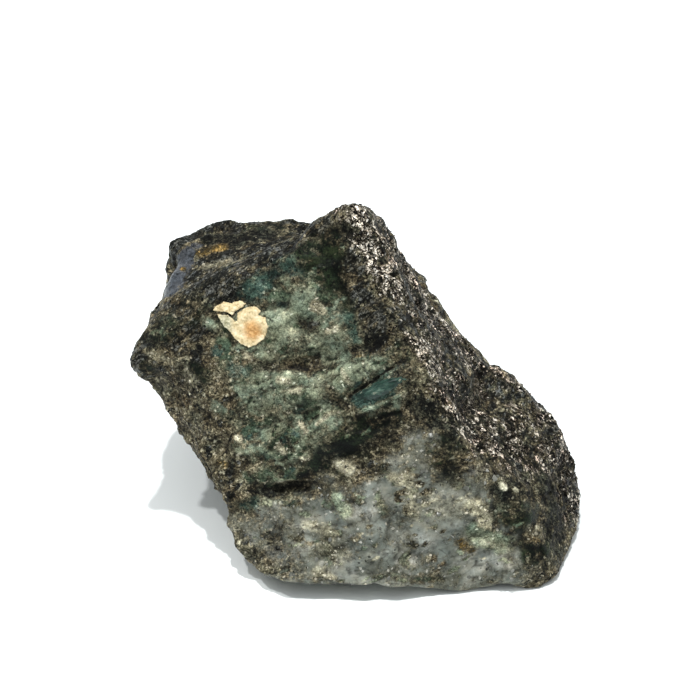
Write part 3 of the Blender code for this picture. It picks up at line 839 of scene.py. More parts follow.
    def hollows(self, bm: bmesh.types.BMesh) -> np.ndarray:
        """How deep each vertex lies among its neighbours.

        Args:
            bm: The surface, which stays as it is.

        Returns:
            A number for each vertex: 0 on edges, 0.5 on flats and 1 in pits.
        """
        bm.normal_update()
        before = [vert.co.copy() for vert in bm.verts]
        normals = [vert.normal.copy() for vert in bm.verts]
        relax(bm, self.hollow_steps)
        depths = [(vert.co - co).dot(normal) / MM for vert, co, normal in zip(bm.verts, before, normals)]
        for vert, co in zip(bm.verts, before):
            vert.co = co
        return np.clip(0.5 + np.array(depths) / (2 * self.hollow_depth), 0.0, 1.0)

    def build(self) -> bpy.types.Object:
        """Makes the skin, with the mineral shares and the depth of its hollows as attributes.

        Returns:
            The skin's object.
        """
        solid = self.solid()
        self.tree = tree_of(solid)
        mesh = evaluated(solid, "REMESH", mode="VOXEL", voxel_size=self.voxel * MM)
        bm = bmesh.new()
        bm.from_mesh(mesh)
        relax(bm, self.wear_steps)
        bm.normal_update()
        points = np.array([vert.co[:] for vert in bm.verts]) / MM
        self.wide_wander, self.fine_wander = wander(points, self.wide_wave), wander(points, self.fine_wave)
        self.lay_minerals(points)
        for vert, height, shift in zip(bm.verts, self.relief(points), self.lip(points)):
            vert.co += vert.normal * (height * MM) + Vector(shift) * MM
            vert.co.z = max(vert.co.z, 0.0)
        hollow = self.hollows(bm)
        bm.to_mesh(mesh)
        bm.free()
        stored = {mineral.value: share for mineral, share in self.shares.items()} | {"hollow": hollow}
        for name, values in stored.items():
            mesh.attributes.new(name, "FLOAT", "POINT").data.foreach_set("value", values.astype(np.float32))
        mesh.shade_smooth()
        self.obj = linked("stone_skin", mesh)
        self.outer = tree_of(mesh)
        return self.obj


@dataclass(frozen=True)
class Scatter:
    """Where small bodies sit on the skin: so many of them, drawn by the shares of these minerals."""

    count: int
    where: tuple[tuple[Mineral, float], ...]
    radii: tuple[float, float]
    lean: float
    sink: float
    seed: int
    low_share: float = 0.15
    clump: float = 0.0
    along: Triple = BAND
    stretch: float = 1.0
    lowest: float = 0.5
    smallness: float = 2.2
    clump_size: float = 1.5
    clump_border: float = 0.45

    def draw(self, skin: Skin) -> list[tuple[Vector, Vector, float, float]]:
        """Draws the bodies' places.

        Args:
            skin: The skin that carries them.

        Returns:
            For each body its place in metres, the way it faces, its radius in metres and its tone.
        """
        mesh = skin.obj.data
        mesh.calc_loop_triangles()
        corners = np.zeros(len(mesh.loop_triangles) * 3, np.int32)
        mesh.loop_triangles.foreach_get("vertices", corners)
        corners = corners.reshape(-1, 3)
        points = as_array(mesh)[corners]
        cross = np.cross(points[:, 1] - points[:, 0], points[:, 2] - points[:, 0])
        area = np.linalg.norm(cross, axis=1)
        wanted = sum(factor * skin.shares[mineral][corners].mean(axis=1) for mineral, factor in self.where)
        wanted[(wanted < self.low_share) | (points[:, :, 2].min(axis=1) < self.lowest)] = 0.0
        draws = np.random.default_rng(self.seed)
        picked = draws.choice(len(corners), size=self.count, p=area * wanted / (area * wanted).sum())
        blend = draws.dirichlet((1.0, 1.0, 1.0), size=self.count)
        places = (points[picked] * blend[:, :, None]).sum(axis=1) * MM
        facing = cross[picked] / np.maximum(area[picked, None], LEAST_AREA)
        facing = facing + draws.normal(0.0, self.lean, (self.count, 3))
        smallest, largest = self.radii
        radius = smallest + (largest - smallest) * draws.random(self.count) ** self.smallness
        tones = (1 - self.clump) * draws.random(self.count) + self.clump * self.clumps(places / MM)
        return [
            (Vector(place), Vector(way).normalized(), size * MM, tone)
            for place, way, size, tone in zip(places, facing, radius, tones)
        ]

    def clumps(self, places: np.ndarray) -> np.ndarray:
        """Where dark and light bodies flock together.

        Args:
            places: Places in millimetres.

        Returns:
            A number from 0 to 1 for each place.
        """
        turned = grained(places, self.along, self.stretch)
        found = np.array([waves(place / self.clump_size, calm=0.8) for place in turned])
        return smooth_share(-self.clump_border, self.clump_border, found)


class Form(Enum):
    """The forms of small bodies."""

    PLATE = "plate"
    FRAGMENT = "fragment"


def fragment_shape(draws: random.Random, corners: int, flatness: float) -> bpy.types.Mesh:
    """An angular fragment of unit radius: the convex hull of random corners.

    Args:
        draws: The source of the random corners.
        corners: How many corners are drawn.
        flatness: Height of the fragment over its width.

    Returns:
        A closed mesh.
    """
    bm = bmesh.new()
    for _ in range(corners):
        way = Vector((draws.gauss(0, 1), draws.gauss(0, 1), draws.gauss(0, 1))).normalized()
        bm.verts.new((way.x, way.y * draws.uniform(*FRAGMENT_WIDTHS), way.z * flatness))
    made = bmesh.ops.convex_hull(bm, input=bm.verts)
    spare = made["geom_interior"] + made["geom_unused"]
    bmesh.ops.delete(bm, geom=list(dict.fromkeys(spare)), context="VERTS")
    bmesh.ops.recalc_face_normals(bm, faces=bm.faces)
    return settled("fragment", bm)


def thickened(bm: bmesh.types.BMesh, shift: Vector) -> list[bmesh.types.BMVert]:
    """Gives a flat bmesh a second side.

    Args:
        bm: The bmesh.
        shift: From the first side to the second, in the bmesh's unit.

    Returns:
        The second side's vertices.
    """
    made = bmesh.ops.extrude_face_region(bm, geom=bm.faces[:])
    moved = [item for item in made["geom"] if isinstance(item, bmesh.types.BMVert)]
    bmesh.ops.translate(bm, verts=moved, vec=shift)
    return moved


def plate_shape(draws: random.Random, sides: int, thickness: float) -> bpy.types.Mesh:
    """A thin closed plate with a ragged outline of unit radius.

    Args:
        draws: The source of the ragged outline.
        sides: Sides of the outline.
        thickness: Thickness over radius.

    Returns:
        A closed mesh, centred on the origin.
    """
    bm = bmesh.new()
    bmesh.ops.create_circle(bm, cap_ends=True, radius=1.0, segments=sides)
    for vert in bm.verts:
        reach = draws.uniform(*PLATE_REACHES)
        vert.co = Vector((vert.co.x * reach, vert.co.y * reach * PLATE_WIDTH, 0.0))
    raised = thickened(bm, Vector((0.0, 0.0, thickness)))
    bmesh.ops.scale(bm, verts=raised, vec=(PLATE_TAPER, PLATE_TAPER, 1.0))
    bmesh.ops.translate(bm, verts=bm.verts, vec=(0.0, 0.0, -thickness / 2))
    bmesh.ops.recalc_face_normals(bm, faces=bm.faces)
    return settled("plate", bm)


@dataclass
class Bodies:
    """Many small closed bodies in one piece, each a turned copy of one of a few shapes."""

    name: str
    scatter: Scatter
    form: Form = Form.PLATE
    shapes: int = 8
    sides: int = 5
    thickness: float = 0.16

    def build(self, skin: Skin) -> bpy.types.Object:
        """Sets the bodies into the skin and hands back the piece.

        Args:
            skin: The skin that carries them.

        Returns:
            One object with all bodies, and their tones as an attribute.
        """
        draws = random.Random(self.scatter.seed)
        make = plate_shape if self.form is Form.PLATE else fragment_shape
        shapes = [make(draws, self.sides, self.thickness) for _ in range(self.shapes)]
        for shape in shapes:
            shape.attributes.new("tone", "FLOAT", "POINT")
        outlines = [as_array(shape) * MM for shape in shapes]
        bm = bmesh.new()
        bm.from_mesh(shapes[0])
        bm.clear()
        for place, facing, radius, tone in self.scatter.draw(skin):
            index = draws.randrange(len(shapes))
            spin = Matrix.Rotation(draws.uniform(0, math.tau), 3, "Z")
            turn = facing.to_track_quat("Z", "Y").to_matrix() @ spin
            middle = np.array(place - facing * (self.scatter.sink * radius))
            co = outlines[index] @ np.array(turn.transposed()) * radius + middle
            shape = shapes[index]
            shape.vertices.foreach_set("co", co.astype(np.float32).ravel())
            shape.attributes["tone"].data.foreach_set("value", np.full(len(co), tone, np.float32))
            bm.from_mesh(shape, face_normals=False, vertex_normals=False)
        bm.normal_update()
        return linked(self.name, settled(self.name, bm))


@dataclass
class Lens:
    """The blue-green emerald lens: a long smooth drop that stands proud of the seam."""

    left: Spot = (350.0, 404.0)
    right: Spot = (409.0, 379.0)
    half_width: float = 1.18
    half_depth: float = 0.8
    sink: float = 0.25
    taper: float = 0.25
    fineness: int = 5
    wave_count: float = 1.7
    wave_height: float = 0.2
    clear: float = 3.0

    def build(self, skin: Skin) -> bpy.types.Object:
        """Makes the lens, half sunk into the seam.

        Args:
            skin: The skin that carries it.

        Returns:
            The lens.
        """
        left, right = Vector(skin.place(self.left)), Vector(skin.place(self.right))
        middle = (left + right) / 2
        facing = skin.tree.find_nearest(middle * MM)[1]
        along = (right - left).normalized()
        across = facing.cross(along).normalized()
        out = along.cross(across).normalized()
        half_length = (right - left).length / 2
        bm = bmesh.new()
        bmesh.ops.create_icosphere(bm, subdivisions=self.fineness, radius=1.0)
        for vert in bm.verts:
            taper = 1.0 - self.taper * vert.co.x * vert.co.x
            wave = 1.0 + self.wave_height * waves(vert.co * self.wave_count)
            flat = along * (vert.co.x * half_length) + across * (vert.co.y * self.half_width * taper * wave)
            above = (middle + flat + out * self.clear) * MM
            base = skin.tree.ray_cast(above, -out)[0]
            vert.co = base + out * ((vert.co.z * self.half_depth * taper * wave - self.sink) * MM)
        mesh = settled("emerald_lens", bm)
        mesh.shade_smooth()
        return linked("emerald_lens", mesh)


@dataclass
class Crust:
    """The cream crust: a thin brittle sheet on the emerald face, split in two by a dark crack."""

    upper: tuple[Spot, ...] = (
        (212.5, 310.5), (216.5, 305.5), (224.0, 302.0), (233.0, 302.5), (241.0, 300.0), (247.0, 304.0),
        (241.5, 308.5), (236.5, 311.5), (233.5, 315.5), (228.0, 312.5), (218.0, 311.5),
    )
    lower: tuple[Spot, ...] = (
        (216.5, 313.6), (228.0, 314.9), (233.0, 318.0), (235.4, 321.5), (238.0, 320.5), (238.2, 313.0),
        (244.0, 309.0), (252.0, 305.5), (258.0, 306.5), (262.0, 311.0), (259.5, 314.5), (266.5, 318.0),
        (269.0, 326.0), (267.0, 334.5), (263.5, 340.0), (257.0, 345.0), (249.0, 347.5), (241.5, 344.5),
        (235.0, 338.5), (230.0, 332.0), (224.5, 327.5),
    )
    middle: Spot = (240.0, 323.0)
    stain: Spot = (253.0, 330.0)
    worn: Spot = (225.0, 324.0)
    facing: Triple = (-0.32, -0.82, 0.47)
    half_side: float = 6.2
    step: float = 0.09
    thickness: float = 0.17
    rim: float = 0.12
    rim_share: float = 0.4
    thinnest: float = 0.05
    embed: float = 0.3
    ragged: float = 0.12
    ragged_size: float = 0.8
    crumb: float = 0.9
    crumb_height: float = 0.04
    clear: float = 6.0

    def depth_inside(self, point: Vector, outline: list[Vector]) -> float:
        """How far a place of the sheet's plane lies inside an outline, less than 0 outside.

        Args:
            point: The place, in millimetres.
            outline: The outline's corners, in millimetres.

        Returns:
            The distance to the outline, in millimetres.
        """
        nearest, inside = math.inf, False
        for start, end in zip(outline, outline[1:] + outline[:1]):
            on_line, share = intersect_point_line(point, start, end)
            on_line = start.lerp(end, min(1.0, max(0.0, share)))
            nearest = min(nearest, (point - on_line).length)
            if (start.y > point.y) != (end.y > point.y):
                crossing = start.x + (point.y - start.y) * (end.x - start.x) / (end.y - start.y)
                inside ^= point.x < crossing
        return nearest if inside else -nearest

    def build(self, skin: Skin) -> bpy.types.Object:
        """Lays the sheet on the skin.

        Args:
            skin: The skin that carries it.

        Returns:
            The crust, closed underneath.
        """
        middle, facing = Vector(skin.place(self.middle)), Vector(self.facing).normalized()
        turn = facing.to_track_quat("Z", "Y").to_matrix()
        outlines = [
            [(turn.transposed() @ (Vector(skin.place(spot)) - middle)).to_2d() for spot in corners]
            for corners in (self.upper, self.lower)
        ]
        cells = round(2 * self.half_side / self.step)
        bm = bmesh.new()
        bmesh.ops.create_grid(bm, x_segments=cells, y_segments=cells, size=self.half_side)
        outside = []
        for vert in bm.verts:
            wave = self.ragged * waves(vert.co / self.ragged_size, calm=0.7)
            inside = max(self.depth_inside(vert.co.to_2d(), outline) for outline in outlines) + wave
            above = (middle + turn @ vert.co + facing * self.clear) * MM
            hit = skin.outer.ray_cast(above, -facing)[0]
            if hit is None or inside < 0:
                outside.append(vert)
                continue
            rise = self.thickness * min(1.0, self.rim_share + inside / self.rim)
            rise += self.crumb_height * waves(hit / MM / self.crumb, calm=0.8)
            vert.co = hit + facing * (max(rise, self.thinnest) * MM)
        bmesh.ops.delete(bm, geom=outside, context="VERTS")
        loose = [vert for vert in bm.verts if not vert.link_faces]
        bmesh.ops.delete(bm, geom=loose, context="VERTS")
        thickened(bm, -facing * ((self.thickness + self.embed) * MM))
        bmesh.ops.recalc_face_normals(bm, faces=bm.faces)
        mesh = settled("cream_crust", bm)
        mesh.shade_smooth()
        return linked("cream_crust", mesh)


def paint(red: float, green: float, blue: float) -> tuple[float, float, float, float]:
    """Turns a display colour into the colour that a shader takes.

    Args:
        red: How red it is, up to 255.
        green: How green it is, up to 255.
        blue: How blue it is, up to 255.

    Returns:
        The linear colour, opaque.
    """

    def linear(value: float) -> float:
        """The linear value of one channel."""
        share = value / 255.0
        return share / 12.92 if share <= 0.04045 else ((share + 0.055) / 1.055) ** 2.4

    return (linear(red), linear(green), linear(blue), 1.0)


Socket = bpy.types.NodeSocket
Stops = tuple[tuple[float, Triple], ...]


class Sheet:
    """A material's node tree, filled one node at a time."""

    def __init__(self, name: str, roughness: float, specular: float) -> None:
        """Starts a material.

        Args:
            name: Its name.
            roughness: Roughness, where nothing else is fed in.
            specular: Specular level.
        """
        self.material = bpy.data.materials.new(name)
        self.material.use_nodes = True
        self.tree = self.material.node_tree
        self.shader = self.tree.nodes["Principled BSDF"]
        self.set("Roughness", roughness)
        self.set("Specular IOR Level", specular)
        self.place = self.add("TexCoord").outputs["Object"]

    def set(self, name: str, value: object) -> None:
        """Links a socket to one of the shader's inputs, or sets the input's value."""
        self.feed(self.shader.inputs[name], value)

    def feed(self, socket: Socket, value: object) -> None:
        """Links a socket to another, or sets its value.

        Args:
            socket: The input that is fed.
            value: A socket or a value.
        """
        if isinstance(value, Socket):
            self.tree.links.new(value, socket)
        else:
            socket.default_value = value

    def add(self, kind: str, values: dict | None = None, **settings: object) -> bpy.types.Node:
        """Adds a node.

        Args:
            kind: The node's type.
            values: A value or a socket for some of its inputs, by name or index.
            **settings: The node's own settings.

        Returns:
            The node.
        """
        node = self.tree.nodes.new("ShaderNode" + kind)
        for name, value in settings.items():
            setattr(node, name, value)
        for key, value in (values or {}).items():
            self.feed(node.inputs[key], value)
        return node

    def share(self, name: str) -> Socket:
        """A number stored on the mesh."""
        return self.add("Attribute", attribute_name=name).outputs["Fac"]

    def math(self, operation: str, first: object, second: object) -> Socket:
        """One sum of two numbers."""
        return self.add("Math", {0: first, 1: second}, operation=operation).outputs[0]

    def times(self, first: object, second: object) -> Socket:
        """The product of two numbers."""
        return self.math("MULTIPLY", first, second)

    def vector(self, operation: str, first: object, second: object) -> Socket:
        """One sum of two vectors."""
        return self.add("VectorMath", {0: first, 1: second}, operation=operation).outputs[0]

    def scaled(self, vector: object, factor: object) -> Socket:
        """A vector times a number."""
        return self.add("VectorMath", {0: vector, "Scale": factor}, operation="SCALE").outputs[0]

    def spread(self, value: object, low: float, high: float) -> Socket:
        """0 below low, 1 above high and a soft curve between."""
        values = {"Value": value, "From Min": low, "From Max": high}
        return self.add("MapRange", values, interpolation_type="SMOOTHSTEP").outputs[0]

    def span(
        self, value: object, low: float, high: float, to_low: float = 0.0, to_high: float = 1.0
    ) -> Socket:
        """Carries low to to_low and high to to_high, and holds what lies beyond."""
        values = {"Value": value, "From Min": low, "From Max": high, "To Min": to_low, "To Max": to_high}
        return self.add("MapRange", values).outputs[0]

    def cloud(self, vector: object, size: float, detail: float = 3.0) -> Socket:
        """Cloudy noise with waves of this size in millimetres, spread to about 0 to 1."""
        values = {"Vector": vector, "Scale": 1 / (size * MM), "Detail": detail, "Roughness": 0.6}
        return self.span(self.add("TexNoise", values).outputs["Fac"], 0.3, 0.7)

    def cells(self, vector: object, size: float, feature: str = "F1") -> bpy.types.Node:
        """Broken grains of this size in millimetres, each with its own colour."""
        return self.add("TexVoronoi", {"Vector": vector, "Scale": 1 / (size * MM)}, feature=feature)

    def grain_tone(self, cells: bpy.types.Node) -> Socket:
        """One random number for each grain."""
        return self.add("SeparateColor", {"Color": cells.outputs["Color"]}).outputs["Red"]

    def stretched(self, along: Triple, times: float) -> Socket:
        """Object places squeezed along a direction, so that what is drawn on them runs that way.

        Args:
            along: The direction.
            times: How much longer than wide the drawn things become.

        Returns:
            The places.
        """
        turn = Vector(along).to_track_quat("X", "Z").to_euler()
        values = {"Vector": self.place, "Rotation": turn, "Scale": (times, 1.0, 1.0)}
        return self.add("Mapping", values, vector_type="TEXTURE").outputs["Vector"]

    def shaken(self, vector: object, size: float, reach: float) -> Socket:
        """Places moved about by noise, so that grains lose their straight borders.

        Args:
            vector: The places.
            size: The waves' size in millimetres.
            reach: How far the places move, in millimetres.

        Returns:
            The moved places.
        """
        wave = self.add("TexNoise", {"Vector": vector, "Scale": 1 / (size * MM), "Detail": 2.0})
        centred = self.vector("SUBTRACT", wave.outputs["Color"], MIDDLE)
        return self.vector("ADD", vector, self.scaled(centred, reach * MM))

    def ramp(self, value: object, stops: Stops) -> Socket:
        """Display colours along a scale from 0 to 1.

        Args:
            value: Where on the scale.
            stops: The colours and their places on the scale.

        Returns:
            The colour.
        """
        node = self.add("ValToRGB", {"Fac": value})
        ends = node.color_ramp.elements
        while len(ends) < len(stops):
            ends.new(0.5)
        for end, (position, colour) in zip(ends, stops):
            end.position = position
            end.color = paint(*colour)
        return node.outputs["Color"]

    def blend(self, share: object, first: object, second: object) -> Socket:
        """Mixes two colours."""
        return self.add("Mix", {0: share, 6: first, 7: second}, data_type="RGBA").outputs[2]

    def average(self, share: object, first: object, second: object) -> Socket:
        """Mixes two numbers."""
        return self.add("Mix", {0: share, 2: first, 3: second}, data_type="FLOAT").outputs[0]

    def facets(self, vector: object, cells: bpy.types.Node) -> Socket:
        """The height of small flat facets, each leaning its own way.

        Args:
            vector: The places that the cells are drawn on.
            cells: The cells, one for each facet.

        Returns:
            The height in millimetres.
        """
        off = self.vector("SUBTRACT", vector, cells.outputs["Position"])
        lean = self.vector("SUBTRACT", cells.outputs["Color"], MIDDLE)
        rise = self.add("VectorMath", {0: off, 1: lean}, operation="DOT_PRODUCT")
        return self.times(rise.outputs["Value"], 1 / MM)

    def bump(self, height: object, strength: float) -> None:
        """Feeds a height in millimetres to the shader's normal."""
        values = {"Height": height, "Distance": MM, "Strength": strength}
        self.set("Normal", self.add("Bump", values).outputs["Normal"])


class Grain(Enum):
    """The ways that a mineral's grain runs, each with its length over its width."""

    LAYERED = (BAND, 1.25)
    SEAMED = (BAND, 1.6)
    FALLING = (FALL, 1.9)
    FIBROUS = (RIDGE, 3.0)


@dataclass(frozen=True)
class Look:
    """How a mineral looks.

    Its colours run from dark to light, and two tints change their hue from place to place. Grains, fine
    noise and soft blotches have their shares of the tone; the specks are shares of the surface. Facet and
    fine are heights, and cracks is how dark its cracks are. A border_low near 0 gives a soft border.
    """

    stops: Stops
    tints: tuple[Triple, Triple]
    grain: Grain
    grain_share: float
    contrast: float
    roughness: float
    facet: float
    fine: float = 0.05
    fine_share: float = 0.36
    dark_specks: float = 0.05
    pale_specks: float = 0.03
    blotches: float = 0.0
    cracks: float = 0.0
    border_low: float = 0.22


LOOKS = {
    Mineral.SCHIST: Look(
        (
            (0.03, (20, 18, 13)), (0.3, (50, 46, 36)), (0.55, (80, 75, 61)), (0.85, (113, 107, 89)),
            (0.98, (162, 154, 133)),
        ),
        ((1.13, 0.98, 0.82), (0.90, 1.0, 0.96)), Grain.LAYERED, grain_share=0.5, contrast=2.0,
        roughness=0.55, facet=0.6, fine_share=0.38, dark_specks=0.08,
    ),
    # Painted glints: the near-white top tones and pale specks of mica, and of glitter below
    Mineral.MICA: Look(
        (
            (0.2, (1, 1, 1)), (0.5, (9, 8, 5)), (0.63, (46, 40, 33)), (0.79, (118, 109, 95)),
            (0.94, (246, 236, 219)),
        ),
        ((1.12, 0.96, 0.90), (0.99, 0.98, 0.99)), Grain.FALLING, grain_share=0.6, contrast=2.5,
        roughness=0.42, facet=0.9, fine_share=0.34, dark_specks=0.16, pale_specks=0.05,
    ),
    Mineral.GLITTER: Look(
        (
            (0.2, (1, 1, 1)), (0.45, (12, 10, 8)), (0.57, (68, 61, 51)), (0.71, (150, 141, 125)),
            (0.9, (252, 244, 230)),
        ),
        ((1.08, 0.97, 0.88), (0.96, 1.0, 1.0)), Grain.FALLING, grain_share=0.6, contrast=2.5,
        roughness=0.42, facet=0.9, fine_share=0.34, dark_specks=0.16, pale_specks=0.05,
    ),
    Mineral.BIOTITE: Look(
        ((0.05, (3, 3, 2)), (0.35, (15, 16, 13)), (0.65, (38, 39, 34)), (0.95, (98, 99, 94))),
        ((1.12, 1.0, 0.82), (0.92, 1.0, 1.16)), Grain.FIBROUS, grain_share=0.5, contrast=2.1,
        roughness=0.45, facet=0.7, dark_specks=0.10,
    ),
    Mineral.EMERALD: Look(
        (
            (0.06, (25, 34, 26)), (0.32, (49, 61, 48)), (0.58, (76, 89, 73)), (0.82, (104, 115, 97)),
            (0.97, (150, 156, 135)),
        ),
        ((0.86, 0.99, 1.0), (1.10, 1.0, 0.84)), Grain.SEAMED, grain_share=0.12, contrast=1.7,
        roughness=0.32, facet=0.34, fine_share=0.28, dark_specks=0.03, pale_specks=0.02, blotches=0.45,
        cracks=0.7, border_low=0.08,
    ),
    Mineral.TEAL: Look(
        (
            (0.06, (19, 30, 26)), (0.36, (40, 57, 50)), (0.62, (62, 82, 72)), (0.85, (88, 107, 93)),
            (0.97, (136, 150, 133)),
        ),
        ((0.92, 0.98, 1.06), (1.08, 1.0, 0.92)), Grain.SEAMED, grain_share=0.12, contrast=1.7,
        roughness=0.3, facet=0.3, fine_share=0.28, pale_specks=0.02, blotches=0.45, cracks=0.7,
        border_low=0.08,
    ),
    Mineral.DEEP: Look(
        ((0.04, (3, 5, 3)), (0.45, (11, 17, 10)), (0.95, (37, 46, 31))),
        ((1.12, 1.0, 0.82), (0.84, 1.02, 1.02)), Grain.SEAMED, grain_share=0.2, contrast=1.9,
        roughness=0.4, facet=0.2, fine_share=0.26, dark_specks=0.06, blotches=0.4, cracks=0.5,
        border_low=0.05,
    ),
    Mineral.PALE: Look(
        ((0.04, (70, 78, 66)), (0.35, (114, 122, 106)), (0.7, (148, 155, 137)), (0.97, (196, 200, 178))),
        ((0.86, 1.0, 0.98), (1.10, 1.0, 0.84)), Grain.SEAMED, grain_share=0.15, contrast=1.5,
        roughness=0.38, facet=0.4, fine_share=0.26, dark_specks=0.012, pale_specks=0.02, blotches=0.4,
        cracks=0.7, border_low=0.08,
    ),
    Mineral.QUARTZ: Look(
        ((0.04, (84, 86, 78)), (0.4, (122, 125, 116)), (0.7, (146, 147, 138)), (0.95, (182, 181, 172))),
        ((0.91, 0.98, 1.02), (1.07, 1.0, 0.90)), Grain.SEAMED, grain_share=0.1, contrast=1.3,
        roughness=0.3, facet=0.14, fine=0.04, fine_share=0.14, dark_specks=0.006, pale_specks=0.02,
        blotches=0.6, cracks=0.45, border_low=0.05,
    ),
    Mineral.FELDSPAR: Look(
        ((0.05, (114, 109, 90)), (0.5, (182, 176, 153)), (0.95, (233, 227, 204))),
        ((1.03, 1.0, 0.90), (0.96, 1.0, 0.98)), Grain.SEAMED, grain_share=0.25, contrast=1.8,
        roughness=0.5, facet=0.3, fine=0.04, fine_share=0.25, pale_specks=0.05, blotches=0.3,
        cracks=0.3, border_low=0.08,
    ),
    Mineral.RUST: Look(
        ((0.1, (27, 23, 14)), (0.45, (66, 56, 33)), (0.75, (110, 91, 50)), (0.95, (166, 138, 86))),
        ((1.1, 0.98, 0.8), (0.92, 0.98, 1.0)), Grain.FIBROUS, grain_share=0.35, contrast=1.8,
        roughness=0.6, facet=0.4, fine_share=0.3, dark_specks=0.12, pale_specks=0.02,
    ),
    Mineral.SLICK: Look(
        ((0.05, (40, 43, 46)), (0.5, (70, 74, 79)), (0.95, (104, 108, 111))),
        ((1.08, 1.0, 0.94), (0.95, 1.0, 1.05)), Grain.SEAMED, grain_share=0.2, contrast=1.4,
        roughness=0.32, facet=0.06, fine=0.012, fine_share=0.2, dark_specks=0.02, pale_specks=0.01,
    ),
    # near-black, partly the painted shade of crevices, pits and hollows
    Mineral.BLACK_AND_SHADE: Look(
        ((0.05, (4, 4, 3)), (0.5, (22, 22, 18)), (0.95, (76, 74, 62))),
        ((1.08, 1.0, 0.88), (0.86, 1.02, 1.04)), Grain.LAYERED, grain_share=0.5, contrast=2.0,
        roughness=0.65, facet=0.6, dark_specks=0.10, pale_specks=0.04,
    ),
}


@dataclass(frozen=True)
class StoneFinish:
    """The skin's material: the look of each mineral, mixed by the shares stored on the mesh, and painted
    shade in hollows.
    """

    roughness: float = 0.5
    specular: float = 0.10
    border_size: float = 1.1
    border_reach: float = 0.6
    small_grain: float = 0.34
    large_grain: float = 0.85
    large_share: float = 0.45
    large_facets: float = 0.6
    fine_size: float = 0.17
    speck: float = 0.30
    speck_tint: tuple[float, ...] = (0.24, 0.24, 0.24, 1.0)
    hue_size: float = 3.1
    blotch: float = 2.0
    crack_size: float = 1.7
    crack_width: float = 0.07
    crack_tint: tuple[float, ...] = (0.12, 0.12, 0.11, 1.0)
    # painted shade: the tone that hollows are darkened towards, and how strongly
    painted_shade_tone: Triple = (10, 9, 7)
    painted_shade_strength: float = 0.7
    # painted highlight: how much lighter the edges are painted
    painted_edge_highlight: float = 0.35
    grit: float = 0.28
    bump: float = 0.8

    def patterns(self, sheet: Sheet) -> dict[Grain, dict[str, Socket]]:
        """The grain and cloud patterns that the minerals share, by the way that they run.

        Args:
            sheet: The material that is being made.

        Returns:
            For each pattern its sockets.
        """
        made = {}
        for grain in Grain:
            place = sheet.shaken(sheet.stretched(*grain.value), size=0.9, reach=0.5)
            small, large = sheet.cells(place, self.small_grain), sheet.cells(place, self.large_grain)
            grains = sheet.average(self.large_share, sheet.grain_tone(small), sheet.grain_tone(large))
            broad = sheet.times(sheet.facets(place, large), self.large_facets)
            made[grain] = {
                "grain": sheet.span(grains, 0.12, 0.88),
                "cloud": sheet.cloud(place, size=1.9, detail=5.0),
                "facets": sheet.math("ADD", sheet.facets(place, small), broad),
            }
        return made

    def cracks(self, sheet: Sheet) -> Socket:
        """Fine cracks that come and go.

        Args:
            sheet: The material that is being made.

        Returns:
            1 in a crack and 0 beside it.
        """
        place = sheet.shaken(sheet.stretched(BAND, 1.8), size=1.3, reach=1.5)
        edges = sheet.cells(place, self.crack_size, "DISTANCE_TO_EDGE").outputs["Distance"]
        shown = sheet.spread(sheet.cloud(sheet.place, size=1.5), 0.45, 0.7)
        return sheet.times(sheet.spread(edges, self.crack_width, 0.0), shown)

    def shared(self, sheet: Sheet) -> dict[str, Socket]:
        """The noise that all minerals use.

        Args:
            sheet: The material that is being made.

        Returns:
            Fine noise, hue, specks, blotches and cracks, by name.
        """
        specks = sheet.cells(sheet.shaken(sheet.place, size=0.4, reach=0.3), self.speck)
        fine_grain = sheet.grain_tone(sheet.cells(sheet.place, self.fine_size))
        place = sheet.shaken(sheet.stretched(BAND, 1.5), size=1.1, reach=1.4)
        blotch = sheet.cells(place, self.blotch, "SMOOTH_F1")
        blotch.inputs["Smoothness"].default_value = 1.0
        return {
            "fine": sheet.average(0.5, sheet.cloud(sheet.place, 2.0 * self.fine_size), fine_grain),
            "hue": sheet.cloud(sheet.place, self.hue_size, detail=5.0),
            "speck": sheet.grain_tone(specks),
            "blotch": sheet.span(sheet.grain_tone(blotch), 0.15, 0.85),
            "crack": self.cracks(sheet),
        }

    def tone(self, sheet: Sheet, look: Look, pattern: dict[str, Socket], shared: dict[str, Socket]) -> Socket:
        """The colour of one mineral.

        Args:
            sheet: The material that is being made.
            look: The mineral's look.
            pattern: The sockets of its pattern.
            shared: The noise that all minerals use.

        Returns:
            The colour's socket.
        """
        value = sheet.average(look.grain_share, pattern["cloud"], pattern["grain"])
        if look.blotches:
            value = sheet.average(look.blotches, value, shared["blotch"])
        value = sheet.average(look.fine_share, value, shared["fine"])
        half = 0.5 / look.contrast
        colour = sheet.ramp(sheet.span(value, 0.5 - half, 0.5 + half), look.stops)
        tint = sheet.blend(shared["hue"], *((*hue, 1.0) for hue in look.tints))
        dark = sheet.spread(shared["speck"], look.dark_specks, 0.5 * look.dark_specks)
        tint = sheet.blend(dark, tint, self.speck_tint)
        if look.cracks:
            tint = sheet.blend(sheet.times(shared["crack"], look.cracks), tint, self.crack_tint)
        colour = sheet.vector("MULTIPLY", colour, tint)
        pale = sheet.spread(shared["speck"], 1.0 - look.pale_specks, 1.0 - 0.5 * look.pale_specks)
        return sheet.blend(pale, colour, paint(*look.stops[-1][1]))

    def light(self, sheet: Sheet, hollow: Socket, fine: Socket) -> Socket:
        """How light the surface is: edges get a painted highlight, and all but the quartz is gritty.

        Args:
            sheet: The material that is being made.
            hollow: How deep a place lies among its neighbours.
            fine: The fine noise.

        Returns:
            The factor of the colour.
        """
        # painted highlight: places that stand out of their neighbours are lightened
        edges = sheet.span(hollow, 0.45, 0.1, 1.0, 1.0 + self.painted_edge_highlight)
        grit = sheet.span(fine, 0.25, 0.75, 1.0 - self.grit, 1.0 + self.grit)
        return sheet.times(edges, sheet.average(sheet.share(Mineral.QUARTZ.value), grit, 1.0))

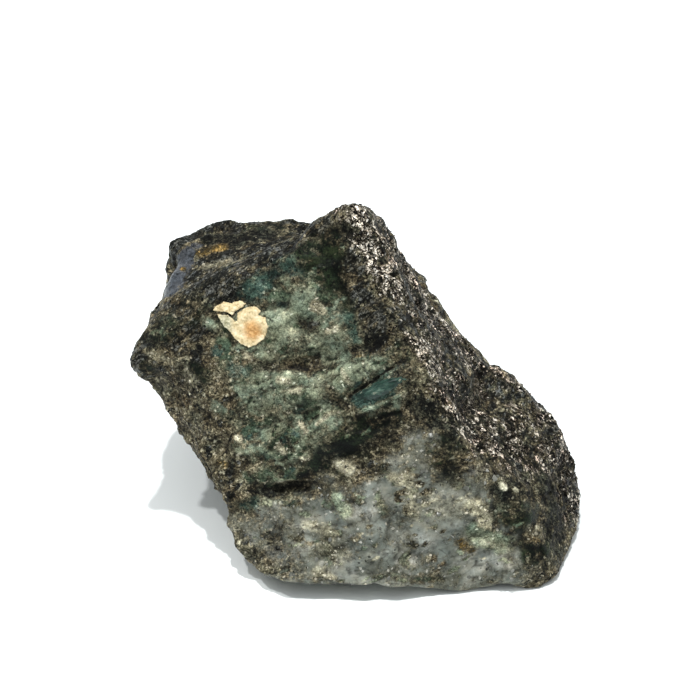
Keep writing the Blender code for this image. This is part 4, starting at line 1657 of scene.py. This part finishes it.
    def material(self) -> bpy.types.Material:
        """Makes the skin's material.

        Returns:
            The material.
        """
        sheet = Sheet("stone", self.roughness, self.specular)
        patterns, shared = self.patterns(sheet), self.shared(sheet)
        border = sheet.cloud(sheet.place, self.border_size, detail=5.0)
        border = sheet.span(border, 0.0, 1.0, 1 - self.border_reach, 1 + self.border_reach)
        colour, roughness, height = None, None, None
        for mineral, look in LOOKS.items():
            pattern = patterns[look.grain]
            tone = self.tone(sheet, look, pattern, shared)
            facets = sheet.times(pattern["facets"], look.facet)
            relief = sheet.math("ADD", facets, sheet.times(shared["fine"], look.fine))
            if colour is None:
                colour, roughness, height = tone, look.roughness, relief
                continue
            share = sheet.times(sheet.share(mineral.value), border)
            share = sheet.spread(share, look.border_low, 1.0 - look.border_low)
            colour = sheet.blend(share, colour, tone)
            roughness = sheet.average(share, roughness, look.roughness)
            height = sheet.average(share, height, relief)
        hollow = sheet.share("hollow")
        # painted shade: the deeper a place lies among its neighbours, the darker it is painted
        dark = sheet.times(sheet.spread(hollow, 0.5, 1.0), self.painted_shade_strength)
        colour = sheet.blend(dark, colour, paint(*self.painted_shade_tone))
        sheet.set("Base Color", sheet.scaled(colour, self.light(sheet, hollow, shared["fine"])))
        sheet.set("Roughness", roughness)
        sheet.bump(height, self.bump)
        return sheet.material


@dataclass(frozen=True)
class BodyFinish:
    """The material of small scattered bodies: each takes its colour from its own tone."""

    name: str
    stops: Stops
    roughness: float
    specular: float
    metallic: float = 0.0
    mottle: float = 0.3
    mottle_size: float = 0.3
    mottle_height: float = 0.02
    bump: float = 0.3

    def material(self) -> bpy.types.Material:
        """Makes the material.

        Returns:
            The material.
        """
        sheet = Sheet(self.name, self.roughness, self.specular)
        sheet.set("Metallic", self.metallic)
        cloud = sheet.cloud(sheet.place, self.mottle_size)
        value = sheet.average(self.mottle, sheet.share("tone"), cloud)
        sheet.set("Base Color", sheet.ramp(value, self.stops))
        sheet.bump(sheet.times(cloud, self.mottle_height), self.bump)
        return sheet.material


@dataclass(frozen=True)
class LensFinish:
    """Waxy blue-green emerald with pale flecks."""

    stops: Stops = ((0.05, (12, 24, 21)), (0.4, (30, 50, 43)), (0.68, (50, 74, 65)), (0.95, (96, 118, 104)))
    roughness: float = 0.28
    specular: float = 0.3
    depth: float = 0.35
    depth_scale: float = 0.8
    depth_tint: Triple = (0.3, 1.0, 0.8)
    streak: float = 2.6
    grain: float = 0.2
    grain_share: float = 0.28
    fleck: float = 0.3
    fleck_tone: Triple = (186, 190, 168)
    wave_height: float = 0.03
    bump: float = 0.5

    def material(self) -> bpy.types.Material:
        """Makes the material.

        Returns:
            The material.
        """
        sheet = Sheet("emerald", self.roughness, self.specular)
        sheet.set("Subsurface Weight", self.depth)
        sheet.set("Subsurface Radius", self.depth_tint)
        sheet.set("Subsurface Scale", self.depth_scale * MM)
        place = sheet.shaken(sheet.stretched(BAND, self.streak), size=0.9, reach=0.4)
        cloud = sheet.cloud(place, size=1.1, detail=5.0)
        grain = sheet.grain_tone(sheet.cells(place, self.grain))
        colour = sheet.ramp(sheet.average(self.grain_share, cloud, grain), self.stops)
        flecks = sheet.spread(sheet.grain_tone(sheet.cells(place, self.fleck)), 0.97, 0.99)
        sheet.set("Base Color", sheet.blend(flecks, colour, paint(*self.fleck_tone)))
        sheet.bump(sheet.times(sheet.cloud(place, size=0.35), self.wave_height), self.bump)
        return sheet.material


@dataclass(frozen=True)
class Stain:
    """A spot of another tone on the crust: its reach in millimetres, its strength and its two tones."""

    reach: float
    strength: float
    low: Triple
    high: Triple
    core: float = 0.35


@dataclass(frozen=True)
class CrustFinish:
    """Chalky cream crust with a rusty stain, worn pale at its rim."""

    stops: Stops = (
        (0.2, (186, 163, 122)), (0.42, (218, 197, 152)), (0.6, (236, 216, 172)), (0.85, (250, 238, 208)),
    )
    roughness: float = 0.8
    specular: float = 0.2
    worn: Stain = Stain(2.0, 0.9, (150, 148, 118), (214, 210, 182))
    rust: Stain = Stain(1.9, 0.9, (190, 132, 70), (232, 182, 118))
    fine_share: float = 0.4
    chalk_height: float = 0.06
    bump: float = 0.7

    def material(self, worn: Vector, rust: Vector) -> bpy.types.Material:
        """Makes the material.

        Args:
            worn: Where the crust is worn thin and grey, in metres.
            rust: Where the rusty stain lies, in metres.

        Returns:
            The material.
        """
        sheet = Sheet("crust", self.roughness, self.specular)
        place = sheet.shaken(sheet.place, size=0.8, reach=0.6)
        broad, fine = sheet.cloud(place, size=0.9, detail=5.0), sheet.cloud(sheet.place, size=0.3)
        colour = sheet.ramp(sheet.average(self.fine_share, broad, fine), self.stops)
        for spot, stain in ((worn, self.worn), (rust, self.rust)):
            values = {0: place, 1: spot}
            distance = sheet.add("VectorMath", values, operation="DISTANCE").outputs["Value"]
            covered = sheet.spread(distance, stain.reach * MM, stain.core * stain.reach * MM)
            stops = ((0.25, stain.low), (0.75, stain.high))
            tone = sheet.ramp(sheet.cloud(place, size=0.4, detail=4.0), stops)
            colour = sheet.blend(sheet.times(covered, stain.strength), colour, tone)
        sheet.set("Base Color", colour)
        chalk = sheet.cloud(sheet.place, size=0.25, detail=4.0)
        sheet.bump(sheet.times(chalk, self.chalk_height), self.bump)
        return sheet.material


@dataclass(frozen=True)
class Studio:
    """A pale floor under two soft lights and a pale sky."""

    floor_side: float = 4.0
    floor_tone: tuple[float, ...] = (0.965 * 0.94, 0.94, 0.94, 1.0)
    sky_tint: tuple[float, ...] = (0.965, 1.0, 1.01, 1.0)
    sky_top: float = 1.2
    sky_rim: float = 0.20
    sky_front: float = 0.34
    overhead: float = 2.1
    overhead_way: Triple = (0.05, -0.06, -1.0)
    second: float = 1.05
    second_way: Triple = (0.36, -0.04, -1.0)
    softness: float = 2.0

    def sun(self, name: str, strength: float, way: Triple) -> None:
        """A soft light that shines one way over the whole floor.

        Args:
            name: The light's name.
            strength: Its strength.
            way: The way it shines.
        """
        light = bpy.data.lights.new(name, "SUN")
        light.energy = strength
        light.angle = math.radians(self.softness)
        linked(name, light).rotation_euler = Vector(way).to_track_quat("-Z", "Y").to_euler()

    def sky(self) -> None:
        """A pale sky, brighter overhead and darker in front."""
        world = bpy.data.worlds.new("sky")
        world.use_nodes = True
        tree = world.node_tree
        kinds = ("TexCoord", "SeparateXYZ", "MapRange", "MapRange", "Math")
        way, split, level, side, strength = (tree.nodes.new("ShaderNode" + kind) for kind in kinds)
        strength.operation = "MULTIPLY"
        level.inputs["To Min"].default_value = self.sky_rim
        level.inputs["To Max"].default_value = self.sky_top
        side.inputs["From Min"].default_value = -1.0
        side.inputs["From Max"].default_value = 0.0
        side.inputs["To Min"].default_value = self.sky_front
        background = tree.nodes["Background"]
        background.inputs["Color"].default_value = self.sky_tint
        for source, target in (
            (way.outputs["Generated"], split.inputs[0]),
            (split.outputs["Z"], level.inputs["Value"]),
            (split.outputs["Y"], side.inputs["Value"]),
            (level.outputs[0], strength.inputs[0]),
            (side.outputs[0], strength.inputs[1]),
            (strength.outputs[0], background.inputs["Strength"]),
        ):
            tree.links.new(source, target)
        bpy.context.scene.world = world

    def floor(self) -> None:
        """The plain pale floor."""
        bm = bmesh.new()
        bmesh.ops.create_grid(bm, x_segments=1, y_segments=1, size=self.floor_side / 2)
        floor = linked("floor", settled("floor", bm))
        sheet = Sheet("floor", roughness=0.9, specular=0.1)
        sheet.set("Base Color", self.floor_tone)
        floor.data.materials.append(sheet.material)

    def camera(self) -> None:
        """The portrait's camera."""
        data = bpy.data.cameras.new("camera")
        data.lens = PORTRAIT.lens
        data.sensor_width = PORTRAIT.sensor
        camera = linked("camera", data)
        camera.location = PORTRAIT.place()
        camera.rotation_euler = (math.radians(90 - PORTRAIT.elevation), 0.0, 0.0)
        bpy.context.scene.camera = camera

    def build(self) -> None:
        """Sets up floor, lights, sky and camera."""
        self.floor()
        self.sun("overhead_light", self.overhead, self.overhead_way)
        self.sun("second_light", self.second, self.second_way)
        self.sky()
        self.camera()
        bpy.context.scene.view_settings.view_transform = "Standard"


# Painted glints, partly: the near-white top tones of the mica and glitter flakes
MICA_TONES = (
    (0.1, (3, 2, 2)), (0.44, (11, 9, 7)), (0.6, (58, 52, 43)), (0.76, (140, 131, 116)),
    (0.94, (250, 242, 227)),
)
GLITTER_TONES = (
    (0.1, (4, 3, 3)), (0.37, (15, 12, 9)), (0.51, (76, 69, 59)), (0.68, (162, 153, 138)),
    (0.88, (252, 246, 234)),
)
DARK_TONES = ((0.05, (2, 3, 2)), (0.5, (12, 14, 10)), (0.8, (34, 37, 32)), (0.97, (116, 120, 118)))
BROWN_TONES = (
    (0.05, (18, 16, 11)), (0.35, (46, 42, 33)), (0.65, (79, 74, 60)), (0.88, (115, 108, 91)),
    (0.99, (168, 160, 140)),
)
PALE_TONES = ((0.0, (104, 99, 82)), (0.5, (166, 159, 137)), (0.9, (216, 209, 187)), (1.0, (244, 239, 226)))
GREY_TONES = ((0.0, (70, 71, 64)), (0.5, (108, 109, 101)), (0.9, (156, 155, 146)))

SCATTERED = (
    (
        Bodies("mica_flakes", Scatter(
            7400, ((M, 1.0),), (0.16, 0.66), lean=0.20, sink=0.10, seed=21,
            clump=0.45, along=FALL, stretch=2.0,
        )),
        BodyFinish("mica_flake", MICA_TONES, roughness=0.38, specular=0.08, metallic=0.5),
    ),
    (
        Bodies("mica_scales", Scatter(
            9500, ((M, 1.0), (S, 0.15)), (0.08, 0.24), lean=0.22, sink=0.10, seed=27,
            low_share=0.1, clump=0.3, along=FALL, stretch=2.2,
        )),
        BodyFinish("mica_scale", MICA_TONES, roughness=0.38, specular=0.08, metallic=0.5),
    ),
    (
        Bodies("glitter_flakes", Scatter(
            4600, ((G, 1.0),), (0.12, 0.56), lean=0.20, sink=0.10, seed=31,
            clump=0.4, along=FALL, stretch=1.8,
        )),
        BodyFinish("glitter_flake", GLITTER_TONES, roughness=0.38, specular=0.08, metallic=0.5),
    ),
    (
        Bodies("biotite_flakes", Scatter(
            8800, ((B, 1.0), (C, 0.5)), (0.10, 0.42), lean=0.15, sink=0.10, seed=22,
            clump=0.4, along=RIDGE, stretch=3.0,
        )),
        BodyFinish("biotite_flake", DARK_TONES, roughness=0.42, specular=0.08, metallic=0.4),
    ),
    (
        Bodies("schist_flakes", Scatter(
            9400, ((S, 1.0),), (0.09, 0.32), lean=0.18, sink=0.12, seed=23, clump=0.3,
        )),
        BodyFinish("schist_flake", BROWN_TONES, roughness=0.5, specular=0.08, metallic=0.3),
    ),
    (
        Bodies(
            "feldspar_grains",
            Scatter(700, ((F, 1.0), (P, 0.08), (Q, 0.06)), (0.08, 0.36), lean=0.6, sink=0.6, seed=24),
            Form.FRAGMENT, shapes=6, sides=15, thickness=0.7,
        ),
        BodyFinish("feldspar_grain", PALE_TONES, roughness=0.45, specular=0.4),
    ),
    (
        Bodies(
            "quartz_grains",
            Scatter(500, ((Q, 1.0), (S, 0.1)), (0.15, 0.60), lean=0.5, sink=0.65, seed=25),
            Form.FRAGMENT, shapes=6, sides=18, thickness=0.7,
        ),
        BodyFinish("quartz_grain", GREY_TONES, roughness=0.22, specular=0.5),
    ),
    (
        Bodies("pale_specks", Scatter(
            480, ((Q, 1.0), (E, 0.25), (P, 0.2), (D, 0.1)), (0.03, 0.12), lean=0.5, sink=0.3, seed=26,
        )),
        BodyFinish("pale_speck", PALE_TONES, roughness=0.35, specular=0.5),
    ),
)


def dress(piece: bpy.types.Object, material: bpy.types.Material) -> None:
    """Gives a piece its material, its place on the body and its slot, and reports it.

    Args:
        piece: The piece.
        material: Its material.
    """
    piece.data.materials.clear()
    piece.data.materials.append(material)
    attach(piece, BODY)
    triangles = sum(len(face.vertices) - 2 for face in piece.data.polygons)
    LOG.info("%s: %d triangles", piece.name, triangles)


def main() -> None:
    """Builds the stone's pieces in order, then the studio."""
    noise.seed_set(SEED)
    skin = Skin()
    stone = skin.build()
    dress(stone, StoneFinish().material())
    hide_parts(NODE)
    dress(Lens().build(skin), LensFinish().material())
    crust = Crust()
    worn, rust = (Vector(skin.place(spot)) * MM for spot in (crust.worn, crust.stain))
    dress(crust.build(skin), CrustFinish().material(worn, rust))
    for bodies, finish in SCATTERED:
        dress(bodies.build(skin), finish.material())
    Studio().build()


if __name__ == "__main__":
    main()
